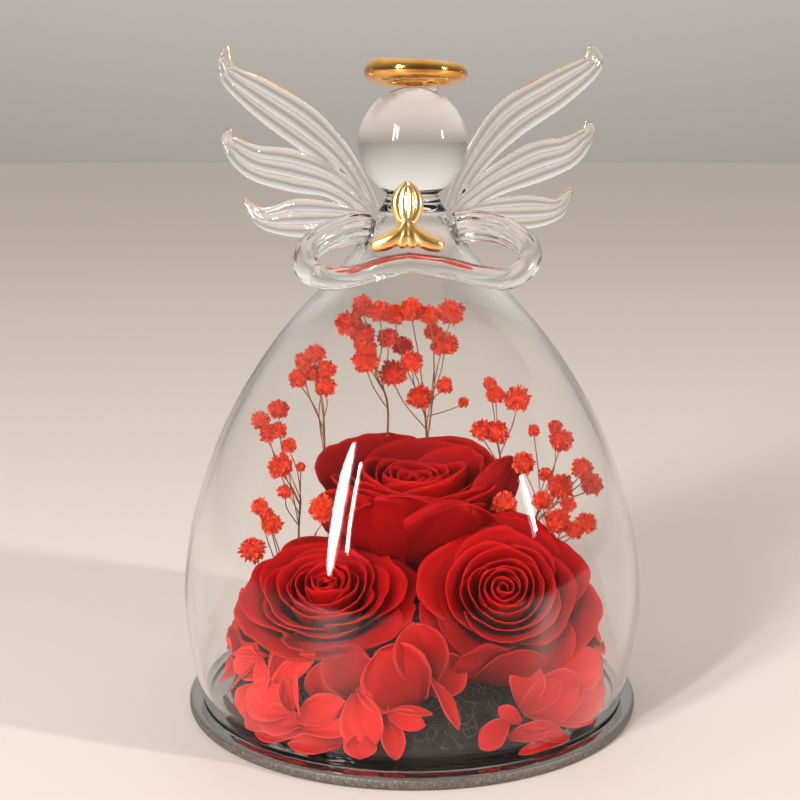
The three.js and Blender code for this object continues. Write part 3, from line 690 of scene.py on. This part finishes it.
def make_glass_figure(material):
    outer = spline(DOME_OUTER, DOME_STEPS)
    inner = spline(DOME_INNER, DOME_STEPS)[::-1]
    inner_foot = inner[-1][0]
    wall = outer[0][0] - inner_foot
    foot = [(inner_foot + share * wall, DOME_FOOT - drop) for share, drop in DOME_FOOT_ROUND]
    start = math.acos((HEAD_CENTRE - NECK_TOP) / HEAD_RADIUS)
    head = []
    for ring in range(HEAD_LOWEST_RING, HEAD_RINGS + 1):
        angle = mix(start, math.pi, ring / HEAD_RINGS)
        head.append((HEAD_RADIUS * math.sin(angle), HEAD_CENTRE - HEAD_RADIUS * math.cos(angle)))
    shape = Shape()
    shape.turned(inner + foot + outer + [(NECK_RADIUS, NECK_TOP)] + head, DOME_SIDES)
    add_piece("glass_figure", shape, material, "clear_glass", ["glass_dome", "head"])


def make_base(top, edge):
    shape = Shape()
    shape.turned(BASE_PROFILE, BASE_SIDES)
    piece = add_piece("base", shape, [top, edge], "base_black", ["base_plate"])
    for face in piece.data.polygons:
        if face.center.z < BASE_EDGE_TOP * MM:
            face.material_index = 1


def rib_height(s):
    """Height of a fluted section at s from -1 to 1: round ribs with grooves between."""
    within = (RIBS / 2 * (s + 1)) % 1
    return RIB_GROOVE + (1 - RIB_GROOVE) * math.sqrt(max(0, 1 - (2 * within - 1) ** 2))


def feather_path(line, steps):
    """Steps along a feather: distance from the axis, height, half width and the direction across it."""
    path = spline(line, steps)
    for j, (out, height, half) in enumerate(path):
        before, after = path[max(j - 1, 0)], path[min(j + 1, steps)]
        along = Vector((after[0] - before[0], 0, after[1] - before[1])).normalized()
        yield out, height, half, Vector((-along.z, 0, along.x))


def feather_place(out, height, across, deep, side):
    place = Vector((out, 0, height)) + across
    place.y = WING_DEPTH + WING_SWEEP * out + deep
    place.x *= side
    return place


def feather_rings(line, side):
    """Sections of a pressed feather, with round ribs in front and shallower ones behind."""
    rings = []
    for out, height, half, wide in feather_path(line, FEATHER_STEPS):
        thick = min(FEATHER_THICKNESS, FEATHER_SLIMNESS * half)
        ring = []
        for angle in turns(FEATHER_SIDES):
            s = math.cos(angle)
            edge = abs(math.sin(angle)) ** 0.35
            deep = thick * edge * rib_height(s)
            deep *= -1 if math.sin(angle) < 0 else FEATHER_FRONT
            ring.append(feather_place(out, height, wide * s * half, deep, side))
        rings.append(ring)
    return rings


def gold_rim(line, number, side):
    """Worn gold along a feather's upper rim, as places with radii."""
    rim = []
    start = GOLD_RIM_STARTS[number]
    for j, (out, height, half, wide) in enumerate(feather_path(line, GOLD_RIM_STEPS)):
        place = feather_place(out, height, wide * (half - 0.05), 0, side)
        worn = noise.noise(Vector((out * 0.12, number * 5 + side * 3, height * 0.12)))
        fade = ease(start - 0.05, start + 0.1, j / GOLD_RIM_STEPS)
        radius = GOLD_RIM_RADIUS * fade * ease(-0.2, 0.05, worn + 0.25 * fade)
        if radius > GOLD_RIM_THINNEST:
            rim.append((*place, radius))
    return rim


def make_wing(side_name, feathers, side, glass, gold):
    shape = Shape()
    trim = Shape()
    for number, line in enumerate(feathers):
        shape.closed(feather_rings(line, side))
        rim = gold_rim(line, number, side)
        if len(rim) > 3:
            trim.rod(rim, GOLD_RIM_SIDES)
    wing = add_piece(f"glass_wing_{side_name}", shape, glass, "clear_glass", [f"wing_{side_name}"])
    fuse(wing, WING_VOXEL)
    add_piece(f"gold_rim_{side_name}", trim, gold, "gold")


def make_arms(glass):
    """Two bent rods, fluted where they leave the shoulders and melted together where they meet."""
    shape = Shape()
    for line in (RIGHT_ARM, LEFT_ARM):
        path = spline(line, ARM_STEPS)
        rows = []
        for j, (place, wide, deep) in enumerate(frames_along([Vector(point[:3]) for point in path])):
            depth = ARM_FLUTE_DEPTH * (1 - ease(*ARM_FLUTES_FADE, j / ARM_STEPS))
            row = []
            for angle in turns(ARM_SIDES):
                reach = path[j][3] * (1 + depth * math.cos(ARM_FLUTES * angle))
                row.append(place + (wide * math.cos(angle) + deep * math.sin(angle)) * reach)
            rows.append(row)
        shape.closed(rows)
    fuse(add_piece("glass_arms", shape, glass, "clear_glass", ["arm_left", "arm_right"]), ARM_VOXEL)


def make_halo(gold, glass):
    rows = []
    for j in range(HALO_STEPS + 1):
        turn = 2 * math.pi * j / HALO_STEPS
        outward = Vector((math.cos(turn), math.sin(turn), 0))
        swell = 0.5 - 0.5 * math.cos(turn)
        tube = HALO_TUBE + HALO_SWELL * swell ** 3
        lift = Vector((0, 0, 0.8 * (tube - HALO_TUBE)))
        centre = outward * (HALO_RADIUS - 0.5 * (tube - HALO_TUBE)) + lift
        rows.append([centre + outward * tube * math.cos(angle) + Vector((0, 0, tube * math.sin(angle)))
                     for angle in turns(HALO_SIDES)])
    shape = Shape()
    shape.grid(rows, wrapped=True)
    shape.moved(Matrix.Translation(HALO_CENTRE) @ Matrix.Rotation(HALO_LEAN, 4, "X"))
    add_piece("halo_ring", shape, gold, "gold", ["halo"])
    peg = Shape()
    peg.rod(spline(PEG, PEG_STEPS), ROD_SIDES)
    add_piece("halo_peg", peg, glass, "clear_glass", ["halo_post"])


def make_hands(gold):
    shape = Shape()
    for side in (-1, 1):
        for line in (PALM, FINGERS, CUFF, WAIST):
            path = spline(line, HAND_STEPS)
            shape.rod([(HANDS_MIDDLE + side * x, y, z, radius) for x, y, z, radius in path], ROD_SIDES)
    fuse(add_piece("gold_hands", shape, gold, "gold", ["praying_hands"]), HAND_VOXEL)


def moss_height(x, y):
    out = math.hypot(x, y) / MOSS_RADIUS
    broad = 1.1 * noise.noise(Vector((0.11 * x, 0.11 * y, 3)))
    fine = 0.5 * noise.noise(Vector((0.35 * x, 0.35 * y, 7)))
    return DOME_FOOT + MOSS_EDGE + MOSS_CREST * max(0, 1 - out ** 4) + (broad + fine) * (1 - 0.5 * out)


def moss_ring(share):
    """Ragged ring of the cushion at a share of its radius, on the ground where the share is 1."""
    row = []
    for angle in turns(MOSS_SIDES):
        ragged = 1 + MOSS_RAGGED * noise.noise(Vector((4 * math.cos(angle), 4 * math.sin(angle), 1)))
        radius = share * (MOSS_RADIUS - 0.6) * ragged
        x, y = radius * math.cos(angle), radius * math.sin(angle)
        row.append((x, y, DOME_FOOT if share == 1 else moss_height(x, y)))
    return row


def moss_fibre(rng):
    """Thin curling fibre on the moss, as places with radii."""
    turn = rng.uniform(0, 2 * math.pi)
    reach = (MOSS_RADIUS - 1) * math.sqrt(rng.uniform(0.12, 1))
    place = Vector((reach * math.cos(turn), reach * math.sin(turn), 0))
    heading = rng.uniform(0, 2 * math.pi)
    bend = rng.uniform(-0.7, 0.7)
    lift = rng.uniform(0.1, 0.8)
    path = []
    for step in range(FIBRE_POINTS):
        share = step / (FIBRE_POINTS - 1)
        height = moss_height(place.x, place.y) + 0.1 + lift * math.sin(math.pi * share) * FIBRE_RISE
        path.append((place.x, place.y, height, FIBRE_RADIUS * (1 - 0.6 * share)))
        heading += bend + rng.uniform(-0.4, 0.4)
        place = place + Vector((math.cos(heading), math.sin(heading), 0)) * FIBRE_STEP
        if place.length > MOSS_RADIUS - 0.5:
            place = place.normalized() * (MOSS_RADIUS - 0.5)
    return path


def make_moss(bed_paint, fibre_paint):
    under = [(0.2 * math.cos(angle), 0.2 * math.sin(angle), DOME_FOOT) for angle in turns(MOSS_SIDES)]
    shares = [1 - j / MOSS_RINGS for j in range(MOSS_RINGS)] + [0.004]
    bed = Shape()
    bed.closed([under] + [moss_ring(share) for share in shares])
    add_piece("moss_cushion", bed, bed_paint, "moss", ["moss_bed"])
    rng = random.Random(MOSS_SEED)
    fibres = Shape()
    for _ in range(FIBRES):
        fibre = moss_fibre(rng)
        fibres.rod(fibre, FIBRE_SIDES, tone=rng.uniform(0.3, 1), rounded=False)
    add_piece("moss_fibres", fibres, fibre_paint, "moss")


def rose_petal(shape, radius, depth, heart_height, openness, layer, middle, rng):
    """One petal on its layer, from 0 at the heart to 1 at the outside, in the rose's own frame."""
    foot = radius * mix(0.04, 0.3, layer)
    rim = radius * mix(0.06, 0.94, layer) * rng.uniform(0.94, 1.05)
    tall = depth * mix(heart_height, 1.02, ease(0, 0.7, layer)) * (1 - 0.15 * openness * layer ** 4)
    tall *= rng.uniform(0.95, 1.04)
    spread = math.radians(mix(170, 56, layer ** 0.55)) * rng.uniform(0.88, 1.12)
    belly = mix(0.1, 0.2, layer) * radius * mix(1.7, 1, openness)
    roll = mix(0, 0.16, ease(0.2, 0.95, layer)) * radius * openness * rng.uniform(0.6, 1.35)
    point = rng.uniform(0.02, 0.08)
    point_place = rng.uniform(-0.25, 0.25)
    slant = rng.uniform(-0.06, 0.06)
    tuck = 0.03 * radius
    seed = rng.uniform(0, 100)
    rows = []
    for j in range(PETAL_ALONG + 1):
        row = []
        for i in range(PETAL_ACROSS + 1):
            u = -1 + 2 * i / PETAL_ACROSS
            reach = 1 - 0.26 * abs(u) ** 3 + point * math.exp(-14 * (u - point_place) ** 2) + slant * u
            reach += 0.025 * noise.noise(Vector((u * 5 + seed, 11, seed)))
            v = j / PETAL_ALONG * reach
            narrow = 0.45 + 0.55 * ease(0, 0.5, j / PETAL_ALONG)
            angle = middle + u * spread * narrow
            bowl = math.sin(math.pi * min(v, 1)) ** 0.8
            out = mix(foot, rim, v ** mix(0.8, 1.25, layer)) + belly * bowl * mix(0.3, 0.55, layer)
            curled = ease(0.66, 1.02, v) ** 1.4
            out += roll * curled * (0.65 + 0.5 * math.sin(math.pi * abs(u)))
            out += tuck * u
            height = tall * v ** mix(1.05, 0.9, layer) - roll * 0.75 * curled ** 2.2
            wrinkle = noise.noise(Vector((u * 1.6 + seed, v * 1.5, layer * 9)))
            ripple = noise.noise(Vector((u * 4.5 + seed, v * 1.8, layer * 7 + 20)))
            frill = noise.noise(Vector((u * 9 + seed, v * 3, layer * 5 + 40)))
            crumple = 0.024 * radius * ease(0.15, 1, v) * mix(0.2, 1, layer)
            out += crumple * (2 * wrinkle + 0.8 * ripple + 0.5 * frill * ease(0.7, 1, v))
            height += crumple * (1.5 * wrinkle + 0.6 * ripple)
            row.append((out * math.cos(angle), out * math.sin(angle), height))
        rows.append(row)
    shape.grid(rows, tone=rng.uniform(0.2, 0.95))


def make_rose(name, face, radius, depth, lean, bearing, heart_height, openness, stem, paint, seed):
    rng = random.Random(seed)
    tilt = math.radians(lean)
    axis = Vector((0, -math.sin(tilt), math.cos(tilt)))
    rose_frame = Matrix.Translation(Vector(face) - axis * depth) @ Matrix.Rotation(tilt, 4, "X")
    heart = Shape()
    bloom = Shape()
    for number, layer in enumerate(HEART_LAYERS + BLOOM_LAYERS):
        middle = bearing + number * GOLDEN_ANGLE + rng.uniform(-0.25, 0.25)
        part = heart if number < len(HEART_LAYERS) else bloom
        in_middle = BARE_LAYERS[0] < layer < BARE_LAYERS[1]
        if openness >= HALF_CLOSED or not in_middle or math.sin(middle) <= BARE_BEHIND:
            rose_petal(part, radius, depth, heart_height, openness, layer, middle, rng)
    calyx = Shape()
    calyx.turned([(0, -stem), (CUT_STEM_RADIUS, -stem), (1.6, -4), (2.4, -3), (0.3 * radius, -1.4),
                  (0.34 * radius, 0.4), (0.1 * radius, 0.9), (0, 0.9)], CALYX_SIDES)
    kept = {"thickness": PETAL_THICKNESS, "outward": False}
    nodes = [f"rose_{name}_{node}" for node in ROSE_NODES]
    add_piece(f"rose_{name}_rolled_heart", heart.moved(rose_frame), paint, "rose_heart", nodes[:1], **kept)
    add_piece(f"rose_{name}_bloom", bloom.moved(rose_frame), paint, "rose_petal", nodes[1:], **kept)
    add_piece(f"rose_{name}_calyx", calyx.moved(rose_frame), paint, "rose_heart")


def sepal(shape, foot, tip, half, facing, rng, cup=SEPAL_CUP, blunt=SEPAL_BLUNTNESS):
    """One sepal from its foot to its tip, broadest past its middle and a little cupped."""
    foot, tip, facing = Vector(foot), Vector(tip), Vector(facing)
    along = tip - foot
    length = along.length
    along.normalize()
    normal = (facing - along * facing.dot(along)).normalized()
    wide = along.cross(normal)
    seed = rng.uniform(0, 100)
    bow = rng.uniform(0.08, 0.2) * length
    rows = []
    for j in range(SEPAL_ROWS):
        v = 0.5 - 0.5 * math.cos(math.pi * j / (SEPAL_ROWS - 1))
        breadth = half * max(math.sin(math.pi * (0.04 + 0.96 * v) ** 1.2) ** blunt, 0.04)
        row = []
        for i in range(SEPAL_COLUMNS):
            u = -1 + 2 * i / (SEPAL_COLUMNS - 1)
            crease = 0.1 * half * math.exp(-26 * u * u) * ease(0.35, 0.6, blunt)
            pleat = 0.035 * half * math.cos(9 * math.pi * u) * (1 - abs(u)) * v
            rise = cup * half * u * u * math.sin(math.pi * v) - crease + pleat - bow * (v - 0.5) ** 2 * 1.6
            wave = 0.11 * half * noise.noise(Vector((u * 2.1 + seed, v * 3, seed))) * (0.3 + abs(u))
            rim = 0.06 * length * noise.noise(Vector((u * 2.2, seed, 5))) * v
            ragged = 1 + 0.07 * noise.noise(Vector((v * 5, seed, math.copysign(3, u))))
            across = wide * breadth * u * ragged
            row.append(foot + along * (length * v + rim) + across + normal * (rise + 2 * wave))
        rows.append(row)
    shape.grid(rows, tone=rng.uniform(0.3, 1))


def floret(shape, centre, facing, spin, size, rng):
    """Four sepals round a tiny bud."""
    facing = Vector(facing).normalized()
    side = facing.cross(Vector((0, 0, 1))).normalized()
    up = side.cross(facing)
    centre = Vector(centre)
    for number in range(4):
        turn = spin + number * math.pi / 2 + rng.uniform(-0.15, 0.15)
        out = side * math.cos(turn) + up * math.sin(turn)
        reach = size * rng.uniform(0.85, 1.1)
        start = centre + facing * (0.25 * (number % 2)) + out * 0.6
        end = centre + out * reach + facing * size * rng.uniform(0.02, 0.35)
        sepal(shape, start, end, size * rng.uniform(0.42, 0.52), facing, rng)
    bud = centre + facing * 0.6
    shape.rod([(*(bud - facing * 0.5), 0.5), (*bud, 0.75), (*(bud + facing * 0.5), 0.5)], 8, tone=0.2)


def make_hydrangea(paint, shaded_paint):
    rng = random.Random(SEPAL_SEED)
    kept = {"thickness": SEPAL_THICKNESS, "outward": False}
    for name in dict.fromkeys([*FRONT_SEPALS, *FLORETS]):
        shape = Shape()
        for foot, tip, half, facing in FRONT_SEPALS.get(name, []):
            sepal(shape, foot, tip, half, facing, rng)
        for bearing, distance, height, size, upward in FLORETS.get(name, []):
            turn, rise = math.radians(bearing), math.radians(upward)
            facing = (math.cos(turn) * math.cos(rise), math.sin(turn) * math.cos(rise), math.sin(rise))
            centre = (distance * math.cos(turn), distance * math.sin(turn), height)
            floret(shape, centre, facing, rng.uniform(0, 1.5), size, rng)
        add_piece(f"hydrangea_{name}_florets", shape, paint, "hydrangea", [f"hydrangea_{name}"], **kept)
    # Sepals under the roses get the darker paint, as painted shade
    shaded = Shape()
    for foot, tip, half, facing in SHADED_SEPALS:
        sepal(shaded, foot, tip, half, facing, rng, blunt=SHADED_BLUNTNESS)
    add_piece("hydrangea_shaded_sepals", shaded, shaded_paint, "hydrangea", **kept)


def make_guard_petals(paint):
    rng = random.Random(GUARD_SEED)
    kept = {"thickness": GUARD_THICKNESS, "outward": False}
    for name, petals in GUARD_PETALS.items():
        shape = Shape()
        for foot, tip, half, facing in petals:
            sepal(shape, foot, tip, half, facing, rng, cup=GUARD_CUP, blunt=GUARD_BLUNTNESS)
        add_piece(f"rose_{name}_guard_petals", shape, paint, "rose_petal", **kept)


def puff(shape, centre, radius, rng):
    """Flower head of many small crinkled petals round a bumpy middle."""
    centre = Vector(centre)
    radius *= PUFF_FULLNESS
    seed = rng.uniform(0, 100)
    rows = []
    for j in range(PUFF_RINGS + 1):
        rise = math.pi * (0.02 + 0.96 * j / PUFF_RINGS)
        row = []
        for turn in turns(PUFF_SIDES):
            out = Vector((math.sin(rise) * math.cos(turn), math.sin(rise) * math.sin(turn), math.cos(rise)))
            bump = noise.noise(out * 2.4 + Vector((seed, 0, 0)))
            row.append(centre + out * radius * (0.72 + 0.22 * bump))
        rows.append(row)
    shape.closed(rows, tone=rng.uniform(0.3, 0.6))
    count = int(PUFF_PETALS * radius)
    for number in range(count):
        height = 1 - 1.9 * (number + 0.5) / count
        turn = number * GOLDEN_ANGLE + rng.uniform(-0.3, 0.3)
        flat = math.sqrt(max(0, 1 - height * height))
        out = Vector((flat * math.cos(turn), flat * math.sin(turn), height))
        side = out.cross(Vector((rng.uniform(-1, 1), rng.uniform(-1, 1), rng.uniform(-1, 1)))).normalized()
        lumpy = 0.94 + 0.2 * noise.noise(out * 1.9 + Vector((seed, 5, 0)))
        reach = radius * lumpy * rng.uniform(0.9, 1.06)
        puff_petal(shape, centre, out, side, reach, rng)


def puff_petal(shape, centre, out, side, reach, rng):
    wide = rng.uniform(0.36, 0.56)
    rows = []
    for j, share in enumerate((0.5, 0.95, 1, 0.7)):
        v = j / 3
        breadth = wide * share
        row = []
        for i in range(4):
            u = -1 + i / 1.5
            crinkle = 0.16 * rng.uniform(-1, 1) * v
            lift = out * (reach * mix(0.55, 1, v) + crinkle - 0.12 * u * u)
            over = out.cross(side) * wide * 0.9 * v * v
            row.append(centre + lift + side * breadth * u + over)
        rows.append(row)
    shape.grid(rows, tone=rng.uniform(0.3, 1))


def make_sprigs(stem_material, flower_material):
    rng = random.Random(SPRIG_SEED)
    for name, (foot, bends, heads) in SPRIGS.items():
        root = (*foot, moss_height(*foot) - 1)
        trunk = [(*point, mix(STEM_RADIUS, STEM_TIP_RADIUS, j / STEM_STEPS))
                 for j, point in enumerate(spline([root, *bends], STEM_STEPS))]
        stems = Shape()
        stems.rod(trunk, STEM_SIDES)
        flowers = Shape()
        for number, (x, y, z, radius) in enumerate(heads):
            start = Vector(trunk[STEM_STEPS - 3 * (number % 4)][:3])
            end = Vector((x, y, z - 0.5 * radius))
            sag = Vector((rng.uniform(-1, 1), rng.uniform(-1, 1), 0)) * 0.06 * (end - start).length
            middle = start.lerp(end, 0.55) + sag
            twig = spline([tuple(start), tuple(middle), tuple(end)], TWIG_STEPS)
            stems.rod([(*point, TWIG_RADIUS) for point in twig], TWIG_SIDES)
            puff(flowers, (x, y, z), radius, rng)
        add_piece(f"babys_breath_{name}_stems", stems, stem_material, "babys_breath")
        add_piece(f"babys_breath_{name}_flowers", flowers, flower_material, "babys_breath",
                  [f"babys_breath_{name}"], outward=False)


def make_floor():
    """Wide disc, pale but for painted shade that darkens its front on the camera's side, without the second
    cover that would lie over all of it.
    """
    shape = Shape()
    shape.closed([[(reach * math.cos(turn), reach * math.sin(turn), 0) for turn in turns(FLOOR_SIDES)]
                  for reach in (1, FLOOR_RADIUS)])
    mesh = bpy.data.meshes.new("floor")
    mesh.from_pydata([point * MM for point in shape.points], [], shape.faces[:-1])
    floor = bpy.data.objects.new("floor", mesh)
    bpy.context.scene.collection.objects.link(floor)
    paint = Paint("floor", Roughness=0.5)
    behind = paint.node("SeparateXYZ", {"Vector": paint.solid()}).outputs["Y"]
    reach = paint.rescale(behind, From_Min=-1, From_Max=1)
    # Painted shade: the floor's colour darkens towards its front, on the camera's side
    paint.link(paint.ramp(reach, *FLOOR_COLOURS_WITH_PAINTED_SHADE), "Base Color")
    mesh.materials.append(paint.material)


def make_lights():
    for name, (form, place, width, height, power, colour) in LIGHTS.items():
        lamp = bpy.data.lights.new(name, "AREA")
        lamp.shape = form
        lamp.size = width
        lamp.size_y = height
        lamp.energy = power
        lamp.color = colour
        holder = bpy.data.objects.new(name, lamp)
        bpy.context.scene.collection.objects.link(holder)
        holder.location = place
        holder.rotation_euler = (LIT_PLACE - Vector(place)).to_track_quat("-Z", "Y").to_euler()


def make_surroundings():
    """Plain room that brightens upwards and behind the object, and is dimmest on the camera's side."""
    world = bpy.data.worlds.new("studio")
    bpy.context.scene.world = world
    world.use_nodes = True
    nodes, links = world.node_tree.nodes, world.node_tree.links
    sky = nodes["Background"]
    sky.inputs["Strength"].default_value = SKY_STRENGTH
    heading = nodes.new("ShaderNodeTexCoord")
    facing = nodes.new("ShaderNodeVectorMath")
    facing.operation = "DOT_PRODUCT"
    facing.inputs[1].default_value = SKY_DIRECTION
    wall = nodes.new("ShaderNodeValToRGB")
    fill_ramp(wall.color_ramp, SKY_COLOURS)
    links.new(heading.outputs["Generated"], facing.inputs[0])
    links.new(facing.outputs["Value"], wall.inputs["Fac"])
    links.new(wall.outputs["Color"], sky.inputs["Color"])


def make_camera():
    lens = bpy.data.cameras.new("camera")
    lens.lens = CAMERA_LENS
    lens.sensor_width = SENSOR_WIDTH
    camera = bpy.data.objects.new("camera", lens)
    bpy.context.scene.collection.objects.link(camera)
    camera.location = CAMERA_PLACE * MM
    camera.rotation_euler = (math.pi / 2 + CAMERA_PITCH, 0, 0)
    bpy.context.scene.camera = camera


make_camera()
make_surroundings()
make_lights()
make_floor()
bpy.context.scene.view_settings.view_transform = "Standard"

CLEAR = glass_paint("clear_glass", waviness=0.12, glint=0.42)
PRESSED = glass_paint("pressed_glass", waviness=0.2, glint=1)
GOLD = gold_paint("gold", (1, 0.58, 0.19), (1, 0.77, 0.38), smooth=0.17, dull=0.34)
# The halo's gold is a darker copy of the gold, a painted dark reflection of the dim room; its smoother finish
# is its own
POLISHED_GOLD_PAINTED_DARK = gold_paint("polished_gold_painted_dark", (0.72, 0.33, 0.07), (0.95, 0.56, 0.18), smooth=0.05, dull=0.14)
ROSE = petal_paint("rose_petal", ROSE_COLOURS, sheen=0.03)
HYDRANGEA = petal_paint("hydrangea_sepal", HYDRANGEA_COLOURS, sheen=0.05)
HYDRANGEA_SHADED = petal_paint("hydrangea_shaded_sepal", SHADED_COLOURS, sheen=0.04)
BREATH = petal_paint("babys_breath_petal", BREATH_COLOURS, sheen=0.1)

make_base(base_top_paint(), base_edge_paint())
make_glass_figure(CLEAR)
make_wing("right", RIGHT_FEATHERS, 1, PRESSED, GOLD)
make_wing("left", LEFT_FEATHERS, -1, PRESSED, GOLD)
make_arms(PRESSED)
make_halo(POLISHED_GOLD_PAINTED_DARK, PRESSED)
make_hands(GOLD)
make_moss(moss_paint("moss", dark=(0.02, 0.018, 0.016), light=(0.1, 0.09, 0.085)),
          moss_paint("moss_fibre", dark=(0.03, 0.027, 0.024), light=(0.22, 0.2, 0.19)))
for index, (rose_name, rose) in enumerate(ROSES.items()):
    make_rose(rose_name, *rose, ROSE, ROSE_SEED + index)
make_guard_petals(ROSE)
make_hydrangea(HYDRANGEA, HYDRANGEA_SHADED)
make_sprigs(stem_paint(), BREATH)
